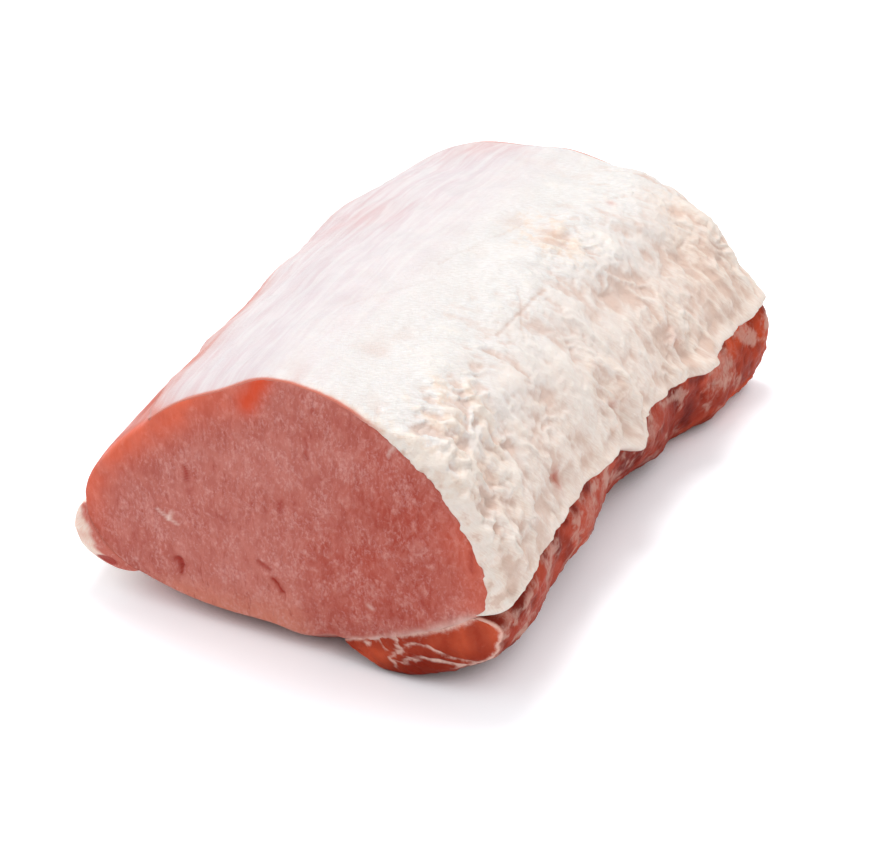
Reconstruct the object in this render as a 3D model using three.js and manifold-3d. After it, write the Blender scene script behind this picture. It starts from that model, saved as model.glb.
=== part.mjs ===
// A raw boneless pork loin roast, as a butcher sells it: a length cut square from the loin, lying fat up.
//
// Millimetres, +Z up. +Y runs along the loin, from the freshly cut end that shows to the far cut end, and +X
// points to the side strap. The origin is on the surface that the loin lies on, under the middle of its
// bounding box.
//
// The loin is layered, and the layers are worked out in polar form. Each cross-section has a middle, and each
// layer is a distance from it that changes with the angle, counted in degrees from +X towards +Z:
//   loin_eye    the big oval muscle, a superellipse with its own roundness in each quarter
//   side_strap  the flat muscle along the right of the eye, wrapped in its own connective tissue
//   fat_cap     the fat over the top and the right, torn off in a ragged edge, silverskin on the left
//   edge_fat    the strip of fat that is left along the lower left edge, where the backbone was
import * as THREE from 'three';
import { mergeVertices } from 'three/addons/utils/BufferGeometryUtils.js';
import Module from 'manifold-3d';

// -------------------------------------------------------------------------------------- driving dimensions

const LENGTH = 216;             // between the two cut ends
const GAP = 0.45;               // between neighbouring pieces, which touch in the real loin
const INSIDE = 4;               // how far a layer reaches into the eye before the eye is cut out of it
const DEGREE = Math.PI / 180;

// A size that changes along the loin is given at its front end, its middle and its far end.
const EYE = {
  middleX: [0, -8, -14],        // the line that the angles are measured about
  middleZ: [34, 35, 31],
  left: [73, 71, 64],           // reach from that line to the left, right and top
  right: [58, 58, 64],
  top: [54, 49, 41.5],
  roundTopRight: [1.9, 2.0, 1.9],    // 2 is an ellipse, less is leaner and more is boxier
  roundTopLeft: [1.45, 1.8, 2.35],
  roundBottomLeft: [2.8, 2.9, 3.0],
  roundBottomRight: [1.45, 1.75, 1.9],
  swell: 0.7,                   // unevenness of its surface, over about the length below
  swellLength: 47,
};
const SUNK = 1.5;               // how far the weight presses the underside into the table, which flattens it
const END_LIFT = 8;             // the underside curls up this far at each cut end
const END_REACH = 8;            // and settles over about this length

const STRAP = {
  from: [-62, -66, -60],        // the angles that it lies between
  to: [4, 5, 12],
  thick: [20, 15.5, 33],
  blunt: [0.6, 0.6, 1.3],       // less is a more even thickness with blunter edges
  drawnIn: 0.2,                 // share of its thickness that is lost at the cut ends
  swell: 0.14,                  // share that it swells and thins by between its segments
  swellLength: 38,
  across: 12,                   // mesh steps across it
};

const FAT = {
  leftEdge: [147, 153, 160],    // the angle of the silverskin's edge
  thick: [5.5, 5.5, 6],         // on the right flank
  skin: 0.9,                    // of the silverskin
  thinning: [32, 76],           // the angles between which the one passes into the other
  atTear: 0.6,                  // share of the thickness that is left at the torn edge
  swell: 0.6,
  swellLength: 26,
  across: 36,
  along: 46,
};

// The ragged edge that the fat was torn off to, over the strap, as [y, angle].
const TEAR = [
  [-108, -1.5], [-97, 2.5], [-72, 3], [-56, 1.5], [-40, 2], [-26, 2], [-15, 0], [-7, -2.5], [2, 1.5],
  [8, 3.5], [18, 3], [35, 0], [50, 0], [57, 2], [71, 2.5], [86, 1], [108, 1.5],
];

const EDGE_FAT = {
  from: [185, 184, 184],
  to: [207, 212, 212],
  thick: [8.5, 5, 5.5],
  blunt: 0.6,
  swell: 0.2,
  swellLength: 31,
  across: 6,
};

// How far each piece's cut faces bulge out.
const FACE_BULGE = { loin_eye: 2.6, side_strap: 1.2, edge_fat: 0.6 };

// Mesh steps: sections along the loin, points round the eye, and the rings that close its cut faces, each the
// share of the way from the rim to the middle.
const ALONG = 30;
const EYE_AROUND = 52;
const FACE_RINGS = [0.22, 0.5, 0.8];
const OVERHANG = 0.04;          // share of the length that a cutting tool sticks out by at both ends

// Raised folds and hollows of the fat, each along a line from one [angle, y] to another, with a half width and
// a height.
const FOLDS = [
  { line: [[67, -12], [60, 8]], width: 4, height: 1.5 },       // edge of the thick fat behind the silverskin
  { line: [[60, 8], [59, 46]], width: 4.5, height: 1.9 },
  { line: [[59, 46], [40, 65]], width: 4.5, height: 1.7 },
  { line: [[33, 20], [25, 84]], width: 10, height: -2.6 },     // the long hollow towards the far right corner
  { line: [[42, -28], [36, -16]], width: 7, height: -1.6 },    // dimple by the knife scratch
  { line: [[48, -103], [42, -68]], width: 4.5, height: 1.4 },  // crumpled patch by the cut end
  { line: [[42, -68], [36, -52]], width: 5, height: 1.3 },
  { line: [[38, -108], [30, -104]], width: 5, height: 1.3 },
  { line: [[16, -98], [3, -94]], width: 4, height: 1.4 },      // upright folds over the strap
  { line: [[14, -82], [5, -76]], width: 4, height: 1.1 },
  { line: [[11, -59], [9, -54]], width: 4, height: -2.8 },     // the nick that the lean shows through
  { line: [[22, -20], [11, -4]], width: 4.5, height: 2.6 },    // rolled ridge that ends in the nub
  { line: [[11, -4], [1, -8]], width: 4, height: 2.8 },
  { line: [[11, -16], [6, -13]], width: 3.5, height: -2.0 },
  { line: [[7, 35], [1, 43]], width: 4, height: 2.4 },         // curled flap by the far end
  { line: [[1, 43], [5, 53]], width: 4, height: 2.8 },
  { line: [[12, 38], [9, 46]], width: 4.5, height: -2.2 },
  { line: [[30, 95], [9, 88]], width: 7, height: 1.6 },        // thick far corner
];

// The nub that the rolled ridge ends in, and the lip of the curled flap: balls of fat, each at an [angle, y],
// with its middle this deep under the fat's surface.
const NUBS = [
  { at: [-1.5, -7], radius: 4.2, depth: 2.6 },
  { at: [3, 47], radius: 4.5, depth: 3.4 },
];

// ------------------------------------------------------------------------------------------ along the loin

const lerp = THREE.MathUtils.lerp;
const smoothstep = THREE.MathUtils.smoothstep;

// Value at share t of the length, on the smooth curve through the front, middle and far sizes.
const along = (t, [front, middle, far]) =>
  front * (1 - t) * (1 - 2 * t) + middle * 4 * t * (1 - t) + far * t * (2 * t - 1);

// 0 at both limits and 1 halfway, as an arch with ends as blunt as asked.
const arch = (value, from, to, blunt) => {
  const share = (value - from) / (to - from);
  return share <= 0 || share >= 1 ? 0 : Math.sin(Math.PI * share) ** blunt;
};

// 1 at the two cut ends, dying away within a few centimetres of them.
function nearEnds(t) {
  const y = THREE.MathUtils.clamp(t, 0, 1) * LENGTH;
  return Math.exp(-y / END_REACH) + Math.exp((y - LENGTH) / END_REACH);
}

// Soft unevenness of a given wavelength, between about -1 and 1.
const waves = (u, v, wavelength, seed) => {
  const k = (2 * Math.PI) / wavelength;
  return (Math.sin(k * u + seed + 1.3 * Math.sin(0.6 * k * v + seed))
    + Math.sin(0.8 * k * v + 2.1 * seed + 1.1 * Math.sin(0.7 * k * u - seed))) / 2;
};

// ---------------------------------------------------------------------------------------------- the layers

// Distance from the middle line to the eye's surface, at an angle.
function eyeReach(t, angle) {
  const c = Math.cos(angle * DEGREE);
  const s = Math.sin(angle * DEGREE);
  const side = along(t, c > 0 ? EYE.right : EYE.left);
  const height = s > 0 ? along(t, EYE.top) : along(t, EYE.middleZ) + SUNK - END_LIFT * nearEnds(t);
  const round = along(t, s > 0
    ? (c > 0 ? EYE.roundTopRight : EYE.roundTopLeft)
    : (c > 0 ? EYE.roundBottomRight : EYE.roundBottomLeft));
  const reach = (Math.abs(c / side) ** round + Math.abs(s / height) ** round) ** (-1 / round);
  return reach + EYE.swell * waves(angle, t * LENGTH, EYE.swellLength, 2);
}

// Thickness of the strap, with the swells between its segments, drawn in at the cut ends.
function strapThickness(t, angle) {
  const full = along(t, STRAP.thick) * (1 - STRAP.drawnIn * nearEnds(t));
  const swell = 1 + STRAP.swell * waves(angle, t * LENGTH, STRAP.swellLength, 5);
  return full * swell * arch(angle, along(t, STRAP.from), along(t, STRAP.to), along(t, STRAP.blunt));
}

function edgeFatThickness(t, angle) {
  const swell = 1 + EDGE_FAT.swell * waves(angle, t * LENGTH, EDGE_FAT.swellLength, 7);
  return along(t, EDGE_FAT.thick) * swell
    * arch(angle, along(t, EDGE_FAT.from), along(t, EDGE_FAT.to), EDGE_FAT.blunt);
}

// Height that the folds and hollows add to the fat at an angle and a y.
function foldHeight(angle, y) {
  const point = new THREE.Vector2(angle, y);
  const nearest = new THREE.Vector2();
  return FOLDS.reduce((sum, { line: [from, to], width, height }) => {
    const start = new THREE.Vector2(...from);
    const run = new THREE.Vector2(...to).sub(start);
    const share = THREE.MathUtils.clamp(nearest.copy(point).sub(start).dot(run) / run.lengthSq(), 0, 1);
    nearest.copy(start).addScaledVector(run, share);
    return sum + height * Math.exp(-((point.distanceTo(nearest) / width) ** 2));
  }, 0);
}

// Angle of the torn edge at a y, on a smooth curve through its points.
const tearCurve = new THREE.SplineCurve(TEAR.map(([y, angle]) => new THREE.Vector2(y, angle)));
function tearAngle(y) {
  const next = TEAR.findIndex(([at]) => at >= y);
  if (next < 1) return TEAR.at(next ? -1 : 0)[1];
  const share = (y - TEAR[next - 1][0]) / (TEAR[next][0] - TEAR[next - 1][0]);
  return tearCurve.getPoint((next - 1 + share) / (TEAR.length - 1)).y;
}

// Thickness of the fat: full on the right flank, next to nothing over the left.
function fatThickness(t, angle) {
  const y = (t - 0.5) * LENGTH;
  const full = 1 - smoothstep(angle, ...FAT.thinning);
  const edge = lerp(FAT.atTear, 1, smoothstep(angle - tearAngle(y), 0, 5));
  const uneven = FAT.swell * waves(angle, y, FAT.swellLength, 3) + foldHeight(angle, y);
  const even = FAT.skin + full * (along(t, FAT.thick) - FAT.skin) * edge;
  return Math.max(FAT.skin, even + lerp(0.15, 1, full) * uneven);
}

// Angles of the fat's two edges.
const fatEdges = (t) => [
  tearAngle((t - 0.5) * LENGTH) + 0.6 * waves(t * LENGTH, 0, 14, 4),
  along(t, FAT.leftEdge) + 2.5 * waves(t * LENGTH, 0, 41, 6),
];

// Each layer: the angles that it spans, and the distance of its outer surface from the middle line.
const LAYERS = {
  side_strap: {
    span: (t) => [along(t, STRAP.from), along(t, STRAP.to)],
    outer: (t, angle) => eyeReach(t, angle) + GAP + strapThickness(t, angle),
  },
  edge_fat: {
    span: (t) => [along(t, EDGE_FAT.from), along(t, EDGE_FAT.to)],
    outer: (t, angle) => eyeReach(t, angle) + GAP + edgeFatThickness(t, angle),
  },
  fat_cap: {
    span: fatEdges,
    outer: (t, angle) => eyeReach(t, angle) + 2 * GAP + strapThickness(t, angle) + fatThickness(t, angle),
  },
};

// ---------------------------------------------------------------------------------------------- the solids

const wasm = await Module();
wasm.setup();

// The point at a share of the length, an angle and a distance from the middle line, never below the table.
function place(t, angle, reach) {
  const x = along(t, EYE.middleX) + reach * Math.cos(angle * DEGREE);
  const z = along(t, EYE.middleZ) + reach * Math.sin(angle * DEGREE);
  return new THREE.Vector3(x, (t - 0.5) * LENGTH, Math.max(z, 0));
}

// Even shares from 0 to 1.
const shares = (steps) => Array.from({ length: steps + 1 }, (_, i) => i / steps);

// A closed geometry as a solid that can be joined and cut, with its shared vertices merged.
function solidOf(geometry) {
  geometry.deleteAttribute('normal');
  geometry.deleteAttribute('uv');
  const closed = mergeVertices(geometry, 1e-4);
  return new wasm.Manifold(new wasm.Mesh({
    numProp: 3,
    vertProperties: new Float32Array(closed.attributes.position.array),
    triVerts: new Uint32Array(closed.index.array),
  }));
}

function solidFrom(points, faces) {
  const geometry = new THREE.BufferGeometry();
  geometry.setAttribute('position', new THREE.Float32BufferAttribute(points.flatMap((p) => p.toArray()), 3));
  geometry.setIndex(faces);
  return solidOf(geometry);
}

// The skin between neighbouring rings of points that run clockwise as seen from the front.
function skinFaces(rings, round) {
  const faces = [];
  for (let i = 0; i < rings - 1; i++) {
    for (let j = 0; j < round; j++) {
      const [a, b] = [i * round + j, i * round + (j + 1) % round];
      faces.push(a, b, b + round, a, b + round, a + round);
    }
  }
  return faces;
}

// The eye: full rings round the middle line, closed by shrinking rings that bulge out, as cut meat does.
function eyeSolid(ts, grow, bulge) {
  const round = EYE_AROUND;
  const ring = (t, share, outwards) => Array.from({ length: round }, (_, j) => {
    const angle = 360 * (1 - j / round);
    return place(t, angle, (eyeReach(t, angle) + grow) * (1 - share)).add(new THREE.Vector3(0, outwards, 0));
  });
  const out = (share) => bulge * (1 - (1 - share) ** 2);
  const rings = [
    ...FACE_RINGS.toReversed().map((share) => ring(ts[0], share, -out(share))),
    ...ts.map((t) => ring(t, 0, 0)),
    ...FACE_RINGS.map((share) => ring(ts.at(-1), share, out(share))),
  ];
  const points = [...rings.flat(), ring(ts[0], 1, -bulge)[0], ring(ts.at(-1), 1, bulge)[0]];
  const faces = skinFaces(rings.length, round);
  const last = (rings.length - 1) * round;
  for (let j = 0; j < round; j++) {
    const k = (j + 1) % round;
    faces.push(rings.length * round, k, j);
    faces.push(rings.length * round + 1, last + j, last + k);
  }
  return solidFrom(points, faces);
}

// A layer over the eye: each ring runs out along its outer surface and back inside the eye, which is cut away
// later.
// Grow makes a tool bigger than the layer it stands for, outwards in millimetres and sideways in degrees.
function layerSolid({ span, outer }, across, ts, grow = 0, bulge = 0) {
  const rings = ts.map((t) => {
    const [from, to] = span(t);
    const ring = shares(across).map((share) => {
      const angle = lerp(from, to, share);
      const spread = angle + (2 * share - 1) * grow;
      return [place(t, spread, outer(t, angle) + grow), place(t, spread, eyeReach(t, spread) - INSIDE)];
    });
    return [...ring.map(([out]) => out).reverse(), ...ring.map(([, back]) => back)];
  });
  const round = 2 * (across + 1);
  const points = rings.flat();
  const faces = skinFaces(rings.length, round);
  // Each cut face is two strips of quads, from the outer surface to a bulging middle row and on inwards.
  for (const [end, sign] of [[0, -1], [rings.length - 1, 1]]) {
    const first = points.length;
    for (let j = 0; j <= across; j++) {
      const middle = rings[end][j].clone().lerp(rings[end][round - 1 - j], 0.4);
      points.push(middle.add(new THREE.Vector3(0, sign * bulge, 0)));
    }
    const quad = (a, b, c, d) => (sign < 0 ? faces.push(a, c, b, a, d, c) : faces.push(a, b, c, a, c, d));
    const base = end * round;
    for (let j = 0; j < across; j++) {
      quad(base + j, base + j + 1, first + j + 1, first + j);
      quad(first + j, first + j + 1, base + round - 2 - j, base + round - 1 - j);
    }
    // The middle row ends on the sides of the ring, so each side is closed by one triangle.
    const side = (a, b, c) => (sign < 0 ? faces.push(a, c, b) : faces.push(a, b, c));
    side(base + round - 1, base, first);
    side(base + across, base + across + 1, first + across);
  }
  return solidFrom(points, faces);
}

const STATIONS = shares(ALONG);
const TOOL_STATIONS = [-OVERHANG, ...STATIONS, 1 + OVERHANG];
const eyeTool = eyeSolid(TOOL_STATIONS, GAP, 0);
const strapTool = layerSolid(LAYERS.side_strap, STRAP.across, TOOL_STATIONS, GAP);

// A ball of fat, pressed into the fat's surface.
function nubSolid({ at: [angle, y], radius, depth }) {
  const t = y / LENGTH + 0.5;
  const { x, z } = place(t, angle, LAYERS.fat_cap.outer(t, angle) - depth);
  return solidOf(new THREE.IcosahedronGeometry(radius, 2).translate(x, y, z));
}

const strap = layerSolid(LAYERS.side_strap, STRAP.across, STATIONS, 0, FACE_BULGE.side_strap);
const edgeFat = layerSolid(LAYERS.edge_fat, EDGE_FAT.across, STATIONS, 0, FACE_BULGE.edge_fat);
const fat = NUBS.reduce(
  (whole, nub) => whole.add(nubSolid(nub)),
  layerSolid(LAYERS.fat_cap, FAT.across, shares(FAT.along)));

const SOLIDS = {
  loin_eye: eyeSolid(STATIONS, 0, FACE_BULGE.loin_eye),
  side_strap: strap.subtract(eyeTool),
  fat_cap: fat.subtract(eyeTool).subtract(strapTool),
  edge_fat: edgeFat.subtract(eyeTool),
};

// --------------------------------------------------------------------------------------- the finished loin

const LOOKS = {
  loin_eye: { color: 0xc8746a, roughness: 0.42, metalness: 0 },
  side_strap: { color: 0xb4564a, roughness: 0.38, metalness: 0 },
  fat_cap: { color: 0xeedfd3, roughness: 0.45, metalness: 0 },
  edge_fat: { color: 0xf0dcc6, roughness: 0.48, metalness: 0 },
};

// The biggest body of a solid as a named mesh: a cut can leave loose crumbs beside it.
function piece(name, whole) {
  const body = whole.decompose().sort((a, b) => b.volume() - a.volume())[0];
  const { vertProperties, triVerts } = body.getMesh();
  const geometry = new THREE.BufferGeometry();
  geometry.setAttribute('position', new THREE.BufferAttribute(vertProperties, 3));
  geometry.setIndex(new THREE.BufferAttribute(triVerts, 1));
  geometry.computeVertexNormals();
  const mesh = new THREE.Mesh(geometry, new THREE.MeshStandardMaterial(LOOKS[name]));
  mesh.name = name;
  return mesh;
}

const loin = new THREE.Group();
loin.name = 'boneless_pork_loin';
loin.add(...Object.entries(SOLIDS).map(([name, whole]) => piece(name, whole)));

// The middle of the bounding box goes over the origin.
const box = new THREE.Box3().setFromObject(loin);
loin.position.set(-(box.min.x + box.max.x) / 2, -(box.min.y + box.max.y) / 2, -box.min.z);

export default loin;
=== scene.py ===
# %% [markdown]
# # A raw boneless pork loin, fat side up
# A loin roast is one long muscle, the eye, with a flat strap of meat along one flank, a torn blanket of fat
# over the top and a strip of fat on the other side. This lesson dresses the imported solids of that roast:
# each solid is replaced by a finely meshed piece of the same form, with the relief and the finish of real
# meat.

import bpy
import numpy as np
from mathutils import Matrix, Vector


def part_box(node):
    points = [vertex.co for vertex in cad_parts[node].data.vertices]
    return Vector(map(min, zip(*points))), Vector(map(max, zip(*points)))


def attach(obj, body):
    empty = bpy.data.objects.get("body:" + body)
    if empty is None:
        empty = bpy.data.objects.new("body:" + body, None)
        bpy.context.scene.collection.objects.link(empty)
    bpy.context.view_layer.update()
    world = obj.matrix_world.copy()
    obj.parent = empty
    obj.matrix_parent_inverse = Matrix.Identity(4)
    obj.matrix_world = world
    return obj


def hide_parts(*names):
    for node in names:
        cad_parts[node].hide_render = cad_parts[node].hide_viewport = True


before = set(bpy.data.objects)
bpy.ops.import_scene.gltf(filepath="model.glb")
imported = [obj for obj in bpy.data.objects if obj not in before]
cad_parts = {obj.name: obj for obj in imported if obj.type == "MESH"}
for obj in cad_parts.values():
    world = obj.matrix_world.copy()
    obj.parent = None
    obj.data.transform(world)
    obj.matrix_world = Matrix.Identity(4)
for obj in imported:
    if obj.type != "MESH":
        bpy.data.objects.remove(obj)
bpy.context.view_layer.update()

MM = 0.001

# %% [markdown]
# ## The form, written down once more
# The solids are worked out in polar form: each cross-section has a middle, and each layer is a distance
# from it that changes with the angle, in degrees from +X towards +Z. The same few sizes are repeated here,
# because a piece that replaces a solid has to keep its form. Working in millimetres keeps the numbers
# readable.

# %% The eye, in millimetres
LENGTH = (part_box("fat_cap")[1].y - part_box("fat_cap")[0].y) / MM
DEGREE = np.pi / 180
EYE = dict(
    middle_x=(0, -8, -14), middle_z=(34, 35, 31),
    left=(73, 71, 64), right=(58, 58, 64), top=(54, 49, 41.5),
    round_top_right=(1.9, 2.0, 1.9), round_top_left=(1.45, 1.8, 2.35),
    round_bottom_left=(2.8, 2.9, 3.0), round_bottom_right=(1.45, 1.75, 1.9),
    swell=0.7, swell_length=47,
)
SUNK, END_LIFT, END_REACH = 1.5, 6.8, 8
BULGES = (
    # angle, y, half width in degrees, half length, height
    (4, -108, 17, 20, 2.7),
    (101, -112, 11, 14, 2.2),
    (155, 42, 14, 26, 2.6),
)
print("length between the cut ends, mm:", round(LENGTH, 1))


def along(t, sizes):
    """Value at share t of the length, on the smooth curve through the front, middle and far sizes."""
    front, middle, far = sizes
    return front * (1 - t) * (1 - 2 * t) + middle * 4 * t * (1 - t) + far * t * (2 * t - 1)


def y_at(t):
    """Place along the loin, in millimetres from its middle."""
    return (t - 0.5) * LENGTH


def hill(*offsets):
    """1 where every offset is 0, dying away as one of them passes 1 on either side."""
    return np.exp(-sum(offset ** 2 for offset in offsets))


def near_ends(t):
    """1 at the two cut ends, dying away within a few centimetres."""
    y = np.clip(t, 0, 1) * LENGTH
    return np.exp(-y / END_REACH) + np.exp((y - LENGTH) / END_REACH)


def waves(u, v, wavelength, seed):
    """Soft unevenness of a given wavelength, between about -1 and 1."""
    k = 2 * np.pi / wavelength
    return (np.sin(k * u + seed + 1.3 * np.sin(0.6 * k * v + seed))
            + np.sin(0.8 * k * v + 2.1 * seed + 1.1 * np.sin(0.7 * k * u - seed))) / 2


def eye_reach(t, angle):
    """Distance from the middle line to the eye's surface, an ellipse with its own bluntness per quarter."""
    c, s = np.cos(angle * DEGREE), np.sin(angle * DEGREE)
    side = np.where(c > 0, along(t, EYE["right"]), along(t, EYE["left"]))
    depth = along(t, EYE["middle_z"]) + SUNK - END_LIFT * near_ends(t)
    height = np.where(s > 0, along(t, EYE["top"]), depth)
    upper = np.where(c > 0, along(t, EYE["round_top_right"]), along(t, EYE["round_top_left"]))
    lower = np.where(c > 0, along(t, EYE["round_bottom_right"]), along(t, EYE["round_bottom_left"]))
    power = np.where(s > 0, upper, lower)
    reach = (np.abs(c / side) ** power + np.abs(s / height) ** power) ** (-1 / power)
    for middle_angle, y, wide, long, height in BULGES:
        turned = (angle - middle_angle + 180) % 360 - 180
        reach = reach + height * hill(turned / wide, (y_at(t) - y) / long)
    return reach + EYE["swell"] * waves(angle, t * LENGTH, EYE["swell_length"], 2)


# %% The strap, the fat and the strip of edge fat
STRAP = dict(start=(-59.5, -66, -60), stop=(4, 5, 12), thick=(20, 15.5, 33), blunt=(0.6, 0.6, 1.3),
             drawn_in=0.2, swell=0.14, swell_length=38, corner=25, corner_drop=8.5)
FAT = dict(left_edge=(147, 153, 160), thick=(5.5, 5.5, 6), skin=0.9, thinning=(32, 76), at_tear=1.1,
           swell=0.6, swell_length=26)
EDGE_FAT = dict(start=(183, 184, 184), stop=(200, 211, 212), thick=(7, 5, 5.5), blunt=0.6,
                swell=0.2, swell_length=31, corner=18, corner_wider=2.2, corner_thicker=3)
GAP = 0.45
# Where the strap swells: angle, y, half width in degrees, half length, height.
STRAP_BUMPS = ((-17, -50, 16, 17, 3.2), (-20, -83, 14, 12, 2.0), (-16, -112, 11, 14, 1.8))

# The ragged edge that the fat was torn off to, over the strap, as (y, angle).
TEAR = (
    (-111, -5.0), (-103, -2.9), (-96, -1.6), (-83, -0.3), (-72, 0.3), (-58, 0.2), (-51, 0.3), (-41, 0.4),
    (-33, -0.3), (-22, -0.6), (-17, -0.8), (-13, -2.2), (-8, -3.9), (-4, -4.8), (-1, -4.3), (1.5, -2.4),
    (4, -0.2), (15, -0.4), (25, -1.2), (36, -2.2), (45, -3.0), (54, -3.2), (61, -1.8), (73, -1.5),
    (87, -1.5), (96, -0.3), (106, 0.2), (111, 0.3),
)


def smoothstep(value, low, high):
    """0 up to one limit, 1 past the other, and a smooth change between them."""
    share = np.clip((value - low) / (high - low), 0, 1)
    return share * share * (3 - 2 * share)


def arch(value, start, stop, blunt, lean_to_stop=1.0):
    """0 at both limits and 1 between them, with ends as blunt as asked."""
    share = np.clip((value - start) / (stop - start), 0, 1)
    return np.sin(np.pi * share ** lean_to_stop) ** blunt


def near_front(t, reach):
    """1 at the cut face in front, dying away over a reach in millimetres."""
    return np.exp(-np.clip(t, 0, 1) * LENGTH / reach)


def strap_stop(t):
    """Upper border of the strap. In front the fat wraps round the corner of the eye, over a lower strap."""
    lowered = along(t, STRAP["stop"]) - STRAP["corner_drop"] * near_front(t, STRAP["corner"])
    return lowered - near_front(t, 10)


def strap_thickness(t, angle):
    """Thickness of the strap. In front it is blunt above and drawn out below."""
    full = along(t, STRAP["thick"]) * (1 - STRAP["drawn_in"] * near_ends(t))
    swell = 1 + STRAP["swell"] * waves(angle, t * LENGTH, STRAP["swell_length"], 5)
    sharper = 0.3 - 0.62 * smoothstep(angle, -36, -14)
    blunt = along(t, STRAP["blunt"]) + near_front(t, STRAP["corner"]) * sharper
    shape = arch(angle, along(t, STRAP["start"]), strap_stop(t), blunt)
    bumps = sum(height * hill((angle - middle) / wide, (y_at(t) - y) / long)
                for middle, y, wide, long, height in STRAP_BUMPS)
    return full * swell * shape + bumps * np.clip(2 * shape, 0, 1)


def edge_fat_stop(t):
    return along(t, EDGE_FAT["stop"]) + EDGE_FAT["corner_wider"] * near_front(t, EDGE_FAT["corner"])


def edge_fat_thickness(t, angle):
    """Thickness of the strip. At the front corner it is a thicker lobe, fullest near its lower border."""
    swell = 1 + EDGE_FAT["swell"] * waves(angle, t * LENGTH, EDGE_FAT["swell_length"], 7)
    corner = near_front(t, EDGE_FAT["corner"])
    blunt = EDGE_FAT["blunt"] - 0.25 * corner * smoothstep(angle, 193, 198)
    shape = arch(angle, along(t, EDGE_FAT["start"]), edge_fat_stop(t), blunt, 1 + 0.6 * corner)
    return (along(t, EDGE_FAT["thick"]) + EDGE_FAT["corner_thicker"] * corner) * swell * shape


def tear_angle(y):
    """Angle of the torn edge at a y, on a smooth curve through its points."""
    knots, angles = np.array(TEAR, float).T
    spot = np.clip(np.searchsorted(knots, y, side="right") - 1, 0, len(knots) - 2)
    share = np.clip((y - knots[spot]) / (knots[spot + 1] - knots[spot]), 0, 1)
    padded = np.concatenate([angles[:1], angles, angles[-1:]])
    before, here, there, after = (padded[spot + k] for k in range(4))
    bend = 2 * before - 5 * here + 4 * there - after
    twist = -before + 3 * here - 3 * there + after
    return 0.5 * (2 * here + (there - before) * share + bend * share ** 2 + twist * share ** 3)


print("torn edge at mid length, degrees:", round(float(tear_angle(np.array(0.0))), 2))

# %% [markdown]
# ## Uneven, but the same on every run
# Meat has no straight line in it. Blender's noise textures can't be read from a script point by point in a
# quick way, so the relief comes from a small gradient noise in numpy. Each call has a fixed seed.

# %% Seeded lumps


def lumps(points, size, seed):
    """Gradient noise between about -1 and 1 at many points, with lumps about as long as size."""
    random = np.random.RandomState(seed)
    table = random.permutation(256)
    slopes = random.normal(size=(256, 3))
    slopes /= np.linalg.norm(slopes, axis=1)[:, None]
    spots = np.asarray(points, float) / size
    cell = np.floor(spots).astype(np.int64)
    inside = spots - cell
    fade = inside ** 3 * (inside * (inside * 6 - 15) + 10)
    total = np.zeros(spots.shape[:-1])
    for corner in np.ndindex(2, 2, 2):
        step = np.array(corner)
        key = np.zeros(spots.shape[:-1], np.int64)
        for axis in range(3):
            key = table[(key + cell[..., axis] + step[axis]) & 255]
        weight = np.prod(np.where(step, fade, 1 - fade), axis=-1)
        total += weight * np.sum(slopes[key] * (inside - step), axis=-1)
    return 1.7 * total


def rough(points, size, seed, octaves=3, fall=0.5):
    """Lumps with smaller lumps on them."""
    return sum(fall ** k * lumps(points, size / 2 ** k, seed + k) for k in range(octaves))


def flat(*values):
    """Points for lumps() from separate coordinates."""
    parts = np.broadcast_arrays(*values, *([0.0] * (3 - len(values))))
    return np.stack(parts, axis=-1)


print("lumps at one place:", round(float(lumps((0.3, 0.6, 0.1), 1.0, 1)), 3))

# %% [markdown]
# ## From a distance and an angle to a point
# Every mesh is made as arrays of lengthwise places and angles first, and only the last step turns them into
# points. The own form has its middle line at x = 0 in front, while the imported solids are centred, so the
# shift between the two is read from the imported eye.

# %% Points in space


def place(t, angle, reach):
    """The point at a share of the length, an angle and a distance, in millimetres, never below the table."""
    x = along(t, EYE["middle_x"]) + reach * np.cos(angle * DEGREE)
    z = along(t, EYE["middle_z"]) + reach * np.sin(angle * DEGREE)
    return np.stack(np.broadcast_arrays(x, y_at(t), np.maximum(z, 0)), axis=-1)


every_t, every_angle = np.meshgrid(np.linspace(0, 1, 61), np.arange(0, 360, 2.0))
own_left = place(every_t, every_angle, eye_reach(every_t, every_angle))[..., 0].min()
SHIFT = np.array([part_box("loin_eye")[0].x / MM - own_left, 0, 0])
print("shift to the packed solids, mm:", round(SHIFT[0], 2))


def mesh_piece(name, points, faces, masks):
    """A mesh object from points in millimetres. A mask gives each point a share from 0 to 1, or a place."""
    mesh = bpy.data.meshes.new(name)
    mesh.from_pydata(((points + SHIFT) * MM).tolist(), [], faces)
    for mask, values in masks.items():
        is_share = values.ndim == 1
        values = np.clip(values, 0, 1) if is_share else values
        layer = mesh.attributes.new(mask, "FLOAT" if is_share else "FLOAT_VECTOR", "POINT")
        layer.data.foreach_set("value" if is_share else "vector", values.astype(np.float32).ravel())
    mesh.polygons.foreach_set("use_smooth", [True] * len(mesh.polygons))
    mesh.validate()
    mesh.update()
    piece = bpy.data.objects.new(name, mesh)
    bpy.context.scene.collection.objects.link(piece)
    mesh.calc_loop_triangles()
    print(name, "triangles:", len(mesh.loop_triangles))
    return piece


# %% [markdown]
# ## A layer of meat or fat as a closed shell
# A layer is a fine sheet of points over its outside. At each border the sheet turns in and runs down to the
# layer below, so the cut ends and the torn edge are part of the same sheet and can have relief too. Behind,
# where nobody looks, a coarse lining closes it. Its outermost faces take in every border point, so no gap
# is left.

# %% Turned edges, and the lining


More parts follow.
